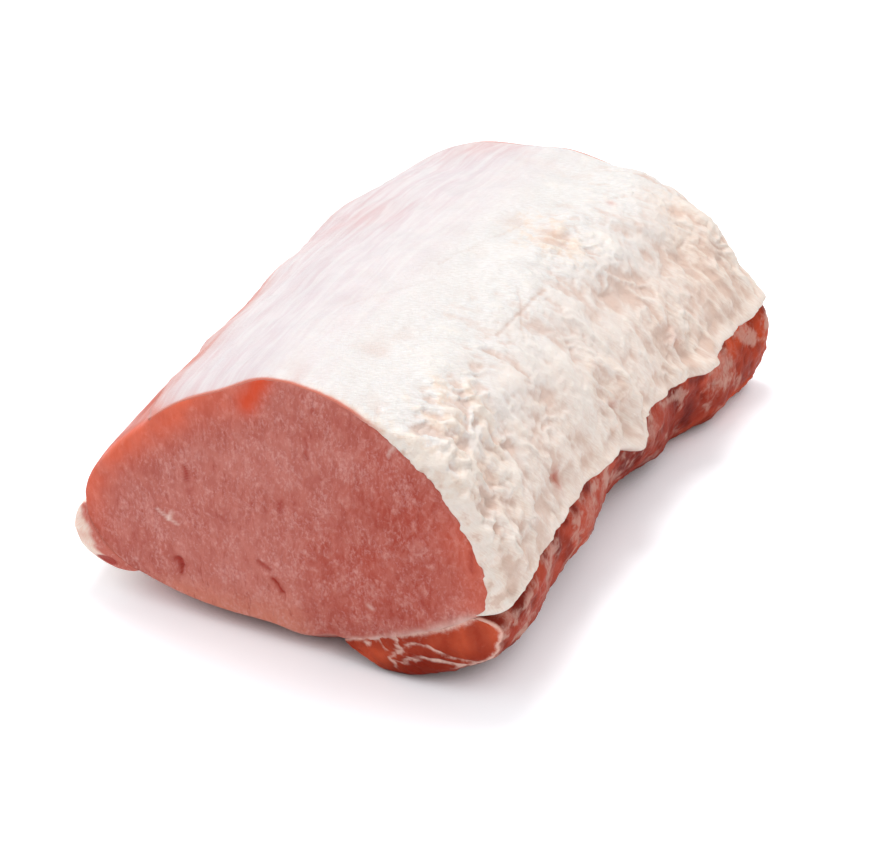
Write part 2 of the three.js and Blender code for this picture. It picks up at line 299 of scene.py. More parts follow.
def turned_edge(radius, height, rows, sharp):
    """Places in from a border and shares of the height there, evenly spaced down a rounded corner."""
    turn = np.linspace(0, np.pi / 2, 400)
    inwards = radius * (1 - np.cos(turn) ** (2 / sharp))
    share = np.sin(turn) ** (2 / sharp)
    run = np.concatenate([[0], np.cumsum(np.hypot(np.diff(inwards), height * np.diff(share)))])
    steps = np.linspace(0, run[-1], rows + 1)[:-1]
    return np.interp(steps, run, inwards), np.interp(steps, run, share)


print("a corner in four rows, shares of the height:", np.round(turned_edge(2, 6, 4, 2)[1], 2))


def lengthwise(edge, steps, lining_step):
    """Rows turned down at both cut ends and even between them, as y, share of the height and which end."""
    inwards, share = edge
    steps += -(2 * len(share) + steps) % lining_step
    first = inwards[-1] + (LENGTH / 2 - inwards[-1]) / steps
    middle = np.linspace(-LENGTH / 2 + first, LENGTH / 2 - first, steps + 1)
    y = np.concatenate([-LENGTH / 2 + inwards, middle, (LENGTH / 2 - inwards)[::-1]])
    height = np.concatenate([share, np.ones(len(middle)), share[::-1]])
    end = np.concatenate([-np.ones(len(share)), np.zeros(len(middle)), np.ones(len(share))])
    return y, height, end


def lining_faces(rows, columns, step):
    """Coarse faces behind a fine sheet. The rim of the sheet is shared, the rest are new points."""
    start, across = rows * columns, (columns - 1) // step - 1

    def corner(i, j):
        rim = i in (0, rows - 1) or j in (0, columns - 1)
        return i * columns + j if rim else start + (i // step - 1) * across + j // step - 1

    def side(i, j, di, dj):
        last = i + di * step, j + dj * step
        rim = (i == last[0] and i in (0, rows - 1)) or (j == last[1] and j in (0, columns - 1))
        return [corner(i + di * k, j + dj * k) for k in range(step if rim else 1)]

    def ring(i, j):
        there, beyond = i + step, j + step
        return side(i, j, 1, 0) + side(there, j, 0, 1) + side(there, beyond, -1, 0) + side(i, beyond, 0, -1)

    return [ring(i, j) for i in range(0, rows - 1, step) for j in range(0, columns - 1, step)]


def spread(angle, *rows):
    """Values that each row of a sheet has one of, repeated over its columns."""
    return [np.broadcast_to(row[:, None], angle.shape) for row in rows]


def sheet_faces(rows, columns):
    number = np.arange(rows * columns).reshape(rows, columns)
    quads = [number[:-1, :-1], number[:-1, 1:], number[1:, 1:], number[1:, :-1]]
    return np.stack(quads, axis=-1).reshape(-1, 4).tolist()


def shell(name, outside, behind, step, masks):
    """A closed layer from its outside points and, for every step-th row and column, the points behind."""
    rows, columns = outside.shape[:2]
    lining = behind[step:rows - 1:step, step:columns - 1:step].reshape(-1, 3)
    points = np.concatenate([outside.reshape(-1, 3), lining])
    faces = sheet_faces(rows, columns) + lining_faces(rows, columns, step)
    whole = {}
    for mask, values in masks.items():
        values = np.broadcast_to(values, outside.shape[:2] + np.shape(values)[2:])
        coarse = values[step:rows - 1:step, step:columns - 1:step]
        shape = (-1,) + values.shape[2:]
        whole[mask] = np.concatenate([values.reshape(shape), coarse.reshape(shape)])
    return mesh_piece(name, points, faces, whole)


# %% [markdown]
# ## The fat cap
# The fat is the hardest part to believe in. On the right it is 5 mm thick, torn off in a ragged lip over
# the strap, with folds, a rolled ridge that ends in a nub and a curled flap. Over the crown it thins, and
# on the left only a shining silverskin is left. The big folds are the ones of the solid. Finer relief is
# added to them.

# %% The big folds
FLAT_RADIUS = 62
FOLDS = (
    # from (angle, y), to (angle, y), half width, height
    ((67, -12), (60, 8), 3.6, 2.0),
    ((60, 8), (59, 46), 4.0, 2.4),
    ((59, 46), (40, 65), 4.2, 2.2),
    ((33, 22), (23, 76), 8, -3.2),
    ((42, -28), (36, -16), 7, -1.6),
    ((48, -103), (42, -68), 4.5, 1.4),
    ((42, -68), (36, -52), 5, 1.3),
    ((38, -108), (30, -104), 5, 1.3),
    ((16, -98), (3, -94), 4, 1.4),
    ((14, -82), (5, -76), 4, 1.1),
    ((11, -59), (9, -54), 4, -2.8),
    ((24, -14), (15, -4), 3.8, 1.8),
    ((15, -4), (8, 0), 3.2, 2.0),
    ((8, 0), (-1, -6), 3.0, 1.9),
    ((12, -12), (8, -9), 3.2, -2.2),
    ((4, 34), (1, 43), 2.0, 1.2),
    ((1, 43), (0.8, 54), 1.9, 1.2),
    ((0.8, 54), (3.5, 61), 1.9, 1.3),
    ((5.5, 43), (5.5, 51), 2.8, -2.2),
    ((30, 95), (9, 88), 7, 1.6),
)


def distance_to_line(u, v, start, stop):
    """How far a place is from a line between two others. On the fat a degree counts as a millimetre."""
    run = np.subtract(stop, start).astype(float)
    share = np.clip(((u - start[0]) * run[0] + (v - start[1]) * run[1]) / (run @ run), 0, 1)
    return np.hypot(u - start[0] - share * run[0], v - start[1] - share * run[1])


def fold_height(angle, y):
    return sum(height * hill(distance_to_line(angle, y, start, stop) / width)
               for start, stop, width, height in FOLDS)


def fat_thickness(t, angle, sway):
    """Thickness with the big folds, which a sway that changes from place to place lets wander."""
    y = y_at(t)
    full = 1 - smoothstep(angle, *FAT["thinning"])
    at_tear = FAT["at_tear"] * (0.62 + 0.3 * rough(flat(y, 3.0), 17, 33, 2))
    edge = at_tear + (1 - at_tear) * smoothstep(angle - tear_angle(y), 0, 9)
    uneven = FAT["swell"] * waves(angle, y, FAT["swell_length"], 3) + fold_height(angle + sway, y + sway)
    even = FAT["skin"] + full * (along(t, FAT["thick"]) - FAT["skin"]) * edge
    return np.maximum(FAT["skin"], even + (0.15 + 0.85 * full) * uneven)


# %% The sheet of the fat cap
FAT_STEP = 6
FINE_COLUMNS, FINE_WIDTH, ALL_COLUMNS = 119, 0.5, 241
cut_edge = turned_edge(radius=3.2, height=6, rows=14, sharp=2.1)
fat_y, fat_rise, fat_end = lengthwise(cut_edge, 316, FAT_STEP)
lip_in, lip_rise = turned_edge(radius=2.4, height=3.4, rows=9, sharp=2.2)


def fat_columns(start, stop):
    """Angles in each row, down the lip, fine over the thick fat, then coarser, and the height of the lip."""
    fine = lip_in[-1] + FINE_WIDTH * np.arange(1, FINE_COLUMNS + 1)
    coarse = ALL_COLUMNS - len(lip_in) - FINE_COLUMNS
    near_angle = start[:, None] + np.concatenate([lip_in, fine]) / FLAT_RADIUS / DEGREE
    share = np.arange(1, coarse + 1) / coarse
    far_angle = near_angle[:, -1:] * (1 - share) + stop[:, None] * share
    height = np.concatenate([lip_rise, np.ones(FINE_COLUMNS + coarse)])
    return np.concatenate([near_angle, far_angle], axis=1), height


row_t = fat_y / LENGTH + 0.5
ragged = 0.3 * rough(flat(fat_y, 4.0), 10, 31, 3, 0.35)
tear = tear_angle(fat_y) + 0.25 * waves(row_t * LENGTH, 0, 14, 4) + ragged
left = along(row_t, FAT["left_edge"]) + 2.5 * waves(row_t * LENGTH, 0, 41, 6)
left = left + 1.2 * rough(flat(fat_y, 9.0), 16, 32)
fat_angle, lip_height = fat_columns(tear, left)
print("fat grid:", fat_angle.shape)

# %% Places on the unrolled fat
FIBRE = (0.80, 0.58)
fat_t, fat_yy = spread(fat_angle, row_t, fat_y)
fat_side, cut_height = fat_end[:, None], fat_rise[:, None]
down = -fat_angle * DEGREE * FLAT_RADIUS
unrolled = flat(down, fat_yy)
with_fibre = down * FIBRE[0] + fat_yy * FIBRE[1]
cross_fibre = -down * FIBRE[1] + fat_yy * FIBRE[0]
thick_fat = 1 - smoothstep(fat_angle + 5 * lumps(unrolled, 22, 40), 48, 78)
from_tear = fat_angle - tear[:, None]
from_end = LENGTH / 2 - np.abs(fat_yy)
at_cut = hill(from_end / 5)
warp = 3.0 * rough(unrolled, 13, 41, 3)
outline = 1 + 0.35 * rough(unrolled, 7, 77)
print("share of the sheet that is thick fat:", round(float(thick_fat.mean()), 2))


def spot(angle, y, size, stretch=1.0):
    """1 at a place of the fat, 0 a few sizes away, with an uneven outline."""
    squared = ((fat_angle - angle) * stretch / size) ** 2 + ((fat_yy - y) / size) ** 2
    return np.exp(-squared * outline)


def creases(drawn_out, size, seed):
    """Narrow crests along the fibres, drawn out that many times, with soft valleys, between 0 and 1."""
    bent = flat(cross_fibre + warp, with_fibre / drawn_out - warp)
    return np.clip(1 - 2.2 * np.abs(lumps(bent, size, seed)), 0, 1) ** 1.5


# %% Relief of the fat
CRUMPLES = (
    # angle, y, size, share
    (45, -84, 14, 1.0), (35, -92, 14, 0.8), (14, -90, 13, 0.6), (14, -12, 14, 0.8), (38, -106, 17, 0.8),
    (16, -106, 12, 0.6), (9, 42, 16, 1.0), (18, 92, 18, 1.0), (59, 26, 17, 0.8), (24, -50, 22, 0.35),
)
crumpled = np.clip(sum(share * spot(angle, y, size) for angle, y, size, share in CRUMPLES), 0, 1)
crumpled = np.clip(crumpled + 0.4 * np.exp(-from_tear / 7) * thick_fat, 0, 1)
wrinkle = 1.2 * creases(3.0, 6.5, 42) + 0.5 * creases(2.4, 3.2, 43) + 0.25 * creases(2.0, 1.8, 44) - 0.75
pucker = rough(flat(down + warp, fat_yy - warp), 8.0, 45, 4, 0.55)
fibres = 0.26 * lumps(flat(with_fibre / 7 + 0.2 * warp, cross_fibre + 0.6 * warp), 1.9, 48)
fibres = fibres + 0.34 * lumps(flat(with_fibre / 5 + 0.2 * warp, cross_fibre + 0.9 * warp), 4.4, 49)
streaks = lumps(flat(down + 0.4 * warp, fat_yy / 10), 2.8, 52)
relief = thick_fat * ((0.30 + 0.9 * crumpled) * wrinkle + (0.5 + 0.5 * crumpled) * pucker)
relief = relief + (0.3 + 0.7 * thick_fat) * fibres + (1 - thick_fat) * 0.08 * streaks
relief = relief + 0.55 * rough(unrolled, 19, 55, 2)
relief = relief * (0.35 + 0.65 * smoothstep(from_tear, 0, 6))
relief = relief * (1 + 0.5 * thick_fat * hill((from_end - 7) / 4.5))

# %% Rolled borders and knife scratches
roll = hill((from_end - 2.0) / 1.8) - 0.8 * hill((from_end - 6.2) / 2.2)
relief = relief * (1 - 0.2 * at_cut) + 0.6 * thick_fat * roll * (0.6 + 1.2 * rough(unrolled, 7, 65, 2))
lip_roll = hill((from_tear - 2.2) / 1.5) - 0.7 * hill((from_tear - 6.0) / 2.0)
relief = relief + 0.55 * lip_roll * (0.7 + 0.8 * rough(flat(fat_yy, 5.0), 12, 66, 2))
SCRATCH_WIDTH = 0.55
SCRATCHES = (
    # from (angle, y), to (angle, y), depth
    ((51, -41), (49, -5), 0.45), ((52, -52), (37, -48), 0.4), ((44, -36), (55, -14), 0.3),
    ((82, -20), (70, 30), 0.3), ((96, -60), (78, -30), 0.25),
)
scratch = sum(hill(distance_to_line(fat_angle + 0.25 * warp, fat_yy, start, stop) / SCRATCH_WIDTH) * depth
              for start, stop, depth in SCRATCHES)
relief = relief - 0.7 * scratch
print("relief of the fat, mm:", round(relief.min(), 2), "to", round(relief.max(), 2))

# %% Thickness of the fat, down to its lip and its cut borders
SUNK_IN = 0.9
strap_below = strap_thickness(fat_t, fat_angle)
cut_rise = thick_fat * cut_height + (1 - thick_fat) * np.clip(3 * cut_height, 0, 1)
fat_height = cut_rise * lip_height
scallop = rough(flat(down, 7.0), 8, 64, 3, 0.4)
sunk_in = SUNK_IN + at_cut * thick_fat * np.clip(1.0 + 1.5 * scallop, 0.2, 2.6)
lift = 0.3 * np.exp(-from_tear / 5) * np.clip(rough(flat(fat_yy, 2.0), 21, 61, 2), 0, 1.4) * thick_fat
under = eye_reach(fat_t, fat_angle) + strap_below - sunk_in
knee = np.minimum(tear + 1.0, strap_stop(row_t) - 1.2)[:, None]
held = strap_thickness(fat_t, np.minimum(fat_angle, knee)) * np.exp(-np.maximum(fat_angle - knee, 0) / 8)
fill = np.maximum(held - strap_below, 0) * (1 - near_front(fat_t, 15))
above = 2 * GAP + fill + fat_thickness(fat_t, fat_angle, 1.6 * rough(unrolled, 9, 62, 2)) + relief
thinned = 0.35 * thick_fat * hill(from_end / 4.5) * (0.8 + 0.8 * rough(flat(down, 9.0), 9, 67, 2))
thickness = sunk_in + above * (1 - 0.8 * at_cut * (1 - thick_fat) - np.clip(thinned, 0, 0.6))
fat_points = place(fat_t, fat_angle, under + lift + np.maximum(thickness, 0.35) * fat_height)
print("fat above the meat, mm:", round(above.min(), 1), "to", round(above.max(), 1))

# %% The cut border, and the nub that the ridge ends in
border = flat(down, thickness * fat_height)
border_rough = (0.1 + 1.2 * thick_fat) * rough(border, 5.0, 63, 4, 0.5)
border_rough = border_rough + 0.3 * thick_fat * rough(border, 2.4, 68, 2)
border_rough = border_rough * (0.15 + 0.85 * smoothstep(cut_height, 0.1, 0.5))
border_in = 0.9 - 0.9 * np.clip(scallop, 0, 1)
border_out = thick_fat * (0.5 - border_in * (1 - smoothstep(cut_height, 0, 0.45))) - 0.1
fat_points[..., 1] += fat_side * (border_out + border_rough) * (1 - cut_height ** 2)

NUB_ANGLE, NUB_Y, NUB_SIZE, NUB_HEIGHT = -0.5, -6, 4.0, 1.6
from_nub = ((fat_angle - NUB_ANGLE) / NUB_SIZE) ** 2 + ((fat_yy - NUB_Y) / NUB_SIZE) ** 2
nub = np.exp(-from_nub ** 1.3)
outwards = np.stack([np.cos(fat_angle * DEGREE), 0 * fat_angle, np.sin(fat_angle * DEGREE)], axis=-1)
downwards = np.stack([np.sin(fat_angle * DEGREE), 0 * fat_angle, -np.cos(fat_angle * DEGREE)], axis=-1)
fat_points += (0.8 * fat_height * nub * NUB_HEIGHT)[..., None] * outwards
fat_points += (0.2 * nub * NUB_HEIGHT * np.exp(-from_tear / 6))[..., None] * downwards
print("points that the nub moves:", int((nub > 0.01).sum()))

# %% Where the fat looks different
# A shading mask: painted shade in the creases, troughs and scratches and towards the torn edge, painted
# highlight on the crests, and painted light and shade in puffs along the cut border.
painted_shading = 0.5 - 0.55 * relief + (0.9 * rough(border, 3.0, 69, 3) - 0.3) * hill(from_end / 3.5)
painted_shading = painted_shading + 0.2 * np.exp(-from_tear / 9) * thick_fat
painted_shading = painted_shading + 0.12 * np.clip(-fold_height(fat_angle, fat_yy), 0, 3)
flank = 1 - smoothstep(fat_angle + 8 * rough(unrolled, 16, 79), 16, 60)
membrane = smoothstep(fat_angle + 6 * rough(flat(down, fat_yy / 3), 18, 71), 62, 118)
lean = spot(10.5, -57, 2.4, 0.9) + 0.35 * spot(9, 41, 3.5)
lean = lean + 0.4 * spot(10.5, -11, 2.5) + 0.4 * spot(52, 68, 1.6)
cream = crumpled * (0.45 + 0.9 * pucker) + 0.2 * spot(60, 26, 12) + 0.5 * np.exp(-from_tear / 16)
cream = cream + 0.5 * spot(20, 92, 22) + 0.6 * hill(from_end / 3)
from_left = np.maximum(left[:, None] - fat_angle + 3 * rough(flat(down, fat_yy / 5), 6, 73), 0)
sheer = (0.85 - 0.6 * smoothstep(fat_yy, -60, 20)) * np.exp(-from_left / 6)
sheer = sheer + 0.25 * spot(118, 96, 20) + 0.15 * spot(126, 20, 24) + 0.15 * smoothstep(fat_angle, 95, 140)
sheer = sheer + (1 - thick_fat) * (0.9 * hill(from_end / 1.1) + 0.2 * np.exp(-from_end / 5))
skin_map = flat(down + (1 - lip_height) * thickness, fat_yy + fat_side * (1 - cut_height) * thickness)

# %% Build the fat cap
fat_masks = dict(unrolled=skin_map, flank=flank, cream=cream, membrane=membrane, painted_shading=painted_shading, lean=lean,
                 scratch=scratch, sheer=sheer)
fat_piece = shell("fat_cap_skin", fat_points, place(fat_t, fat_angle, under + lift), FAT_STEP, fat_masks)
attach(fat_piece, "root")
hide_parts("fat_cap")

# %% [markdown]
# ## The strap
# The strap is a separate flat muscle, wrapped in its own connective tissue. Its cut end shows two bundles
# of dark meat between white seams, and its side is lumpy, with pale patches where the tissue was not
# trimmed off.

# %% The sheet of the strap
STRAP_STEP, STRAP_COLUMNS = 6, 151
blunt_edge = turned_edge(radius=2.2, height=14, rows=34, sharp=5)
strap_y, strap_rise, strap_end = lengthwise(blunt_edge, 230, STRAP_STEP)
even_share = np.linspace(0, 1, STRAP_COLUMNS)
strap_share = 0.6 * (1 - np.cos(np.pi * even_share)) / 2 + 0.4 * even_share
row_t = strap_y / LENGTH + 0.5
lowest, highest = along(row_t, STRAP["start"])[:, None], strap_stop(row_t)[:, None]
strap_angle = lowest * (1 - strap_share) + highest * strap_share
strap_t, strap_yy, depth_share = spread(strap_angle, row_t, strap_y, strap_rise)
strap_down = -strap_angle * DEGREE * FLAT_RADIUS
strap_map = flat(strap_down, strap_yy)
segment = rough(flat(strap_down, strap_yy * 0.8), 13, 81, 4, 0.6)
bundle = lumps(flat(strap_down, strap_yy / 3.5), 3.4, 85)
strap_relief = 0.7 * segment + 0.2 * bundle + 0.5 * rough(strap_map, 4.5, 87, 3, 0.6)
strap_full = SUNK_IN + GAP + strap_thickness(strap_t, strap_angle)
tapered = np.clip(strap_full / 4, 0, 1)
strap_inside = eye_reach(strap_t, strap_angle) - SUNK_IN
strap_reach = strap_inside + (strap_full + strap_relief * tapered) * depth_share
strap_points = place(strap_t, strap_angle, strap_reach)
on_face = (depth_share < 0.985).astype(float)
print("strap grid:", strap_angle.shape)

# %% White seams on the strap's cut ends
# Each seam is a line through (share of the width, share of the depth) on the cut end.
SEAMS = (
    ((0.21, 0.22), (0.30, 0.10), (0.36, 0.09), (0.35, 0.30)),
    ((0.50, 0.00), (0.46, 0.35), (0.33, 0.53), (0.30, 0.85)),
    ((0.44, 0.42), (0.56, 0.23), (0.66, 0.34), (0.68, 0.71), (0.73, 0.97)),
    ((0.33, 0.69), (0.55, 0.59), (0.62, 0.80), (0.67, 0.97)),
)
CUT_WIDTH, CUT_DEPTH, SEAM_WIDTH = 72.0, 15.0, 0.9
width_mm = np.broadcast_to(strap_share * CUT_WIDTH, strap_angle.shape)
depth_mm = depth_share * CUT_DEPTH
wander = rough(flat(width_mm, depth_mm, np.where(strap_yy > 0, 50.0, 0.0)), 4, 91, 3, 0.6)


def seam_share(bends):
    """1 on a bent seam of the cut end, 0 beside it."""
    stops = np.array(bends) * (CUT_WIDTH, CUT_DEPTH)
    distances = [distance_to_line(width_mm + wander, depth_mm + wander, start, stop)
                 for start, stop in zip(stops[:-1], stops[1:])]
    return hill(np.minimum.reduce(distances) / SEAM_WIDTH)


seam = sum(seam_share(bends) for bends in SEAMS)
uneven = 0.75 + 0.5 * rough(flat(width_mm, depth_mm), 3, 98, 2)
rind = hill((1 - depth_share) * strap_full / 0.9) * smoothstep(strap_share, 0.5, 0.7)
root = hill(depth_share * strap_full / (0.9 + 1.2 * smoothstep(strap_share, 0.3, 0.9)))
fascia_face = np.clip((seam * uneven + (0.5 + uneven) * 0.8 * rind + 0.8 * root) * on_face, 0, 1)
from_border = np.minimum(strap_angle - strap_angle[:, :1], strap_angle[:, -1:] - strap_angle)
face_bulge = 0.8 * np.sin(np.pi * np.clip(depth_share, 0, 1)) * smoothstep(from_border, 0, 14)
face_relief = 0.35 * rough(flat(width_mm, depth_mm), 5, 93, 3) - 0.5 * seam + 0.35 * rind
strap_points[..., 1] += strap_end[:, None] * on_face * (0.05 + face_bulge + face_relief * tapered)
print("share of the cut ends in white tissue:", round(float(fascia_face[on_face > 0].mean()), 2))

# %% Tissue, dark patches and painted shade on the strap's side
# Spots as (angle, y, size).
TISSUE_SPOTS = ((-14, -93, 6), (-11, -72, 5), (-5, -41, 6), (-8, -23, 6), (-7, 14, 5), (-8, 64, 5),
                (-4, 72, 6))
DARK_SPOTS = ((-5, -65, 3.5), (-5, -98, 2.2), (-11, -3, 5), (-12, 6, 5), (-6, 37, 5), (-14, 48, 5))
strap_outline = 1 + 0.5 * rough(strap_map, 5, 78)


def strap_spots(spots):
    """Spots on the strap's side, each an (angle, y, size), with uneven outlines."""
    return sum(np.exp(-(((strap_angle - angle) / size) ** 2 + ((strap_yy - y) / size) ** 2) * strap_outline)
               for angle, y, size in spots)


patches = smoothstep(rough(flat(strap_down, strap_yy * 0.8), 9, 95, 5, 0.7), 0.0, 0.8)
upper_side = smoothstep(strap_angle, -38, -4)
at_cut_side = hill((LENGTH / 2 - np.abs(strap_yy)) / 2.0) * smoothstep(strap_share, 0.5, 0.8)
fascia_side = patches * (0.15 + 0.65 * upper_side) + 0.1 * upper_side + 0.8 * at_cut_side
fascia_side = np.clip(fascia_side + 0.5 * strap_spots(TISSUE_SPOTS), 0, 1) * (1 - on_face)
below_lip = tear_angle(strap_yy) - strap_angle
# Painted shade in the crevice right under the fat's torn lip, laid together with the meat's own dark patches
# and spots.
lip_shade = hill((below_lip - 1.4) / 1.5) * np.clip(0.6 + rough(flat(strap_yy, 4.0), 7, 99), 0, 1)
dark_meat = 0.7 * smoothstep(lumps(strap_map, 9, 97), 0.15, 0.6) * (1 - fascia_side)
dark_patches_and_lip_shade = np.clip(0.9 * lip_shade + dark_meat + strap_spots(DARK_SPOTS), 0, 1) * (1 - on_face)
# Painted shade: the strap's side is darker towards its underside, and its cut end darker towards the bottom.
low_side_shade = 1 - smoothstep(strap_angle + 6 * segment, -44, -8)
low_face_shade = 0.7 * smoothstep(depth_share * strap_full, 5, 13) * (1 - smoothstep(strap_share, 0.6, 0.9))
# Painted shade in the hollows of the strap's relief.
strap_relief_shade = np.clip(0.5 - 0.6 * strap_relief, 0, 1) * (1 - on_face)
strap_masks = dict(
    cut_face=on_face, fascia=fascia_face + fascia_side * (1 - 0.8 * lip_shade), dark_patches_and_lip_shade=dark_patches_and_lip_shade,
    low=low_side_shade * (1 - on_face) + low_face_shade * on_face, far=smoothstep(strap_yy + 8 * segment, 30, 80),
    painted_shading=strap_relief_shade)
print("share of the strap in white tissue:", round(float(fascia_side.mean()), 2))

# %% Build the strap
strap_piece = shell("side_strap_meat", strap_points, place(strap_t, strap_angle, strap_inside), STRAP_STEP,
                    strap_masks)
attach(strap_piece, "root")
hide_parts("side_strap")

# %% [markdown]
# ## The strip of edge fat
# Along the lower left edge, where the backbone was cut away, a rounded strip of cream fat is left on the
# meat.

# %% The sheet of the edge fat
EDGE_STEP, EDGE_COLUMNS = 4, 57
round_edge = turned_edge(radius=1.8, height=5, rows=8, sharp=2.6)
edge_y, edge_rise, edge_end = lengthwise(round_edge, 216, EDGE_STEP)
edge_share = (1 - np.cos(np.pi * np.linspace(0, 1, EDGE_COLUMNS))) / 2
row_t = edge_y / LENGTH + 0.5
upper, lower = along(row_t, EDGE_FAT["start"])[:, None], edge_fat_stop(row_t)[:, None]
edge_angle = upper * (1 - edge_share) + lower * edge_share
edge_t, edge_yy, edge_height, edge_side = spread(edge_angle, row_t, edge_y, edge_rise, edge_end)
edge_map = flat(-edge_angle * DEGREE * FLAT_RADIUS, edge_yy)
edge_fibres = lumps(flat(edge_map[..., 0], edge_yy / 3), 2.2, 104)
edge_relief = 0.55 * rough(edge_map, 7, 101, 3, 0.55) + 0.15 * edge_fibres
edge_full = SUNK_IN + GAP + edge_fat_thickness(edge_t, edge_angle)
edge_taper = np.clip(edge_full / 3, 0, 1)
edge_inside = eye_reach(edge_t, edge_angle) - SUNK_IN
edge_reach = edge_inside + (edge_full + edge_relief * edge_taper) * edge_height
edge_points = place(edge_t, edge_angle, edge_reach)
print("edge fat grid:", edge_angle.shape)

# %% The cut ends of the edge fat, with the lean meat under it and a notch, with painted shade in it
NOTCH_ANGLE, NOTCH_HEIGHT = 198.4, 0.66
end_bulge = 1.2 * smoothstep(edge_height, 0.2, 0.7) * (1 - edge_height) * edge_taper
end_bulge = end_bulge * (1 + 0.5 * rough(edge_map, 4, 105))
edge_depth = edge_height * edge_full - SUNK_IN
lean_depth = 0.8 + 4 * smoothstep(edge_angle, 188, 196) + 6 * smoothstep(edge_angle, 197.5, 200)
lean_depth = lean_depth + rough(flat(edge_angle, edge_depth, edge_yy), 4, 106, 2)
on_cut_end = smoothstep(1 - edge_height, 0.02, 0.12)
lean_share = on_cut_end * (1 - smoothstep(edge_depth, lean_depth - 0.7, lean_depth + 0.7))
shaded_notch = on_cut_end * hill((edge_angle - NOTCH_ANGLE) / 1.5, (edge_height - NOTCH_HEIGHT) / 0.3)
edge_points[..., 1] += edge_side * (end_bulge - 0.7 * shaded_notch)
print("points in the notch:", int((shaded_notch > 0.5).sum()))

# %% Build the edge fat
# The strip's shading mask is painted shade in the hollows of its relief.
edge_masks = dict(unrolled=edge_map + flat(0 * edge_angle, edge_side * (1 - edge_height) * edge_full),
                  painted_shading=0.5 - 0.8 * edge_relief, lean=lean_share, shaded_notch=shaded_notch)
edge_behind = place(edge_t, edge_angle, edge_inside)
edge_piece = shell("edge_fat_strip", edge_points, edge_behind, EDGE_STEP, edge_masks)
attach(edge_piece, "root")
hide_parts("edge_fat")

# %% [markdown]
# ## The eye
# The big muscle shows at its two cut ends and along the left flank. Each cut end is a square grid squeezed
# into the outline, which keeps its faces about equally big from the rim to the middle, where rings round a
# centre would crowd. The knife leaves slits between the bundles, and the cut bulges a little, because meat
# relaxes.

# %% The grid of a cut end
FACE_STEPS = 170
EYE_STATIONS = 56


def squeezed_grid(steps):
    """A square grid squeezed into a round outline: the share of the way out and the angle of each point."""
    line = np.linspace(-1, 1, steps + 1)
    a, b = np.meshgrid(line, line, indexing="ij")
    wide = np.abs(a) > np.abs(b)
    share = np.maximum(np.abs(a), np.abs(b))
    with np.errstate(divide="ignore", invalid="ignore"):
        turn = np.where(wide, 45 * b / a, 90 - 45 * a / b)
    turn = np.where(np.isfinite(turn), turn, 0)
    turn = turn + np.where(wide, 180.0 * (a < 0), 180.0 * (b < 0))
    return share, turn % 360


def rim_order(steps):
    """The grid's border points in order, anticlockwise."""
    number = np.arange((steps + 1) ** 2).reshape(steps + 1, steps + 1)
    return np.concatenate([number[-1, :-1], number[:0:-1, -1], number[0, :0:-1], number[:-1, 0]])


face_share, face_angle = squeezed_grid(FACE_STEPS)
rim = rim_order(FACE_STEPS)
rim_angle = face_angle.ravel()[rim]
print("points round the eye:", len(rim))

# %% Marks that the knife left, as places (x, z) on the cut end in mm
SLITS = (
    # from, to, half width, depth
    ((-35.6, 53.6), (-34.7, 49.5), 0.85, 1.0),
    ((-34.3, 46.0), (-32.0, 39.1), 0.75, 0.25),
    ((-3.3, 51.1), (-3.4, 47.8), 0.8, 0.6),
    ((-40.4, 20.7), (-38.9, 21.1), 1.2, 1.2),
    ((-39.4, 20.4), (-39.0, 18.6), 1.3, 1.4),
    ((-39.0, 18.6), (-38.8, 16.2), 0.75, 1.3),
    ((-11.6, 29.4), (-8.0, 27.0), 0.8, 0.8),
    ((-6.8, 23.9), (-4.0, 20.5), 0.85, 1.2),
    ((-66.2, 14.0), (-62.5, 11.0), 1.4, 1.8),
    ((4.4, 73.0), (5.1, 66.8), 0.8, 0.5),
    ((55.0, 50.0), (55.5, 44.0), 0.7, 0.5),
    ((40.0, 33.0), (41.0, 29.0), 0.8, 0.5),
)

# Threads of white tissue on the cut end, from and to.
THREADS = (
    ((-45.8, 36.8), (-42.0, 34.6)), ((-42.0, 34.6), (-39.2, 33.5)), ((-42.0, 34.6), (-40.5, 37.0)),
    ((33.2, 80.6), (30.3, 74.4)), ((23.6, 23.9), (24.6, 23.1)),
)
# Places that are greyer, or rosier where the share is below 0: x, z, radius, share.
TONES = (
    (-36, 40, 20, 0.9), (-12, 26, 16, 0.5), (-6, 68, 24, 1.0), (38, 60, 16, -0.6), (30, 30, 18, -0.6),
    (-60, 32, 8, 0.4), (2, 40, 10, -0.3),
)
BLOOD_LINE = (-14.0, 79.5), (-9.0, 88.5)


def sector(angle, start, risen, falling, stop):
    """1 between two angles, with soft limits."""
    return smoothstep(angle, start, risen) * (1 - smoothstep(angle, falling, stop))


def rounded_off(inwards):
    """How far the rim of a cut end is rounded back: less where fat or the strap covers the corner."""
    covered = smoothstep(face_angle, 352, 360) + (1 - smoothstep(face_angle, 145, 152))
    covered = covered + sector(face_angle, 181, 185, 199, 204) + smoothstep(face_angle, 294, 302)
    corner = 1.9 - 1.7 * np.clip(covered, 0, 1)
    return corner * (1 - np.sqrt(1 - np.clip(1 - inwards / corner, 0, 1) ** 2))


def knife_marks(side, x, z):
    """Depth of the slits, and the painted shade in them, darker where the slits are deeper. The far end has
    them mirrored and a fifth smaller.
    """
    depths, shade_in_slits = np.zeros_like(x), np.zeros_like(x)
    for start, stop, width, depth in SLITS:
        ends = [(u, v) if side < 0 else (-0.8 * u - 12, 0.8 * v) for u, v in (start, stop)]
        near = hill(distance_to_line(x, z, *ends) / width)
        depths += 0.4 * near * depth
        shade_in_slits = np.maximum(shade_in_slits, near * min(1, 0.3 + 0.5 * depth))
    return depths, shade_in_slits


# %% The two cut ends


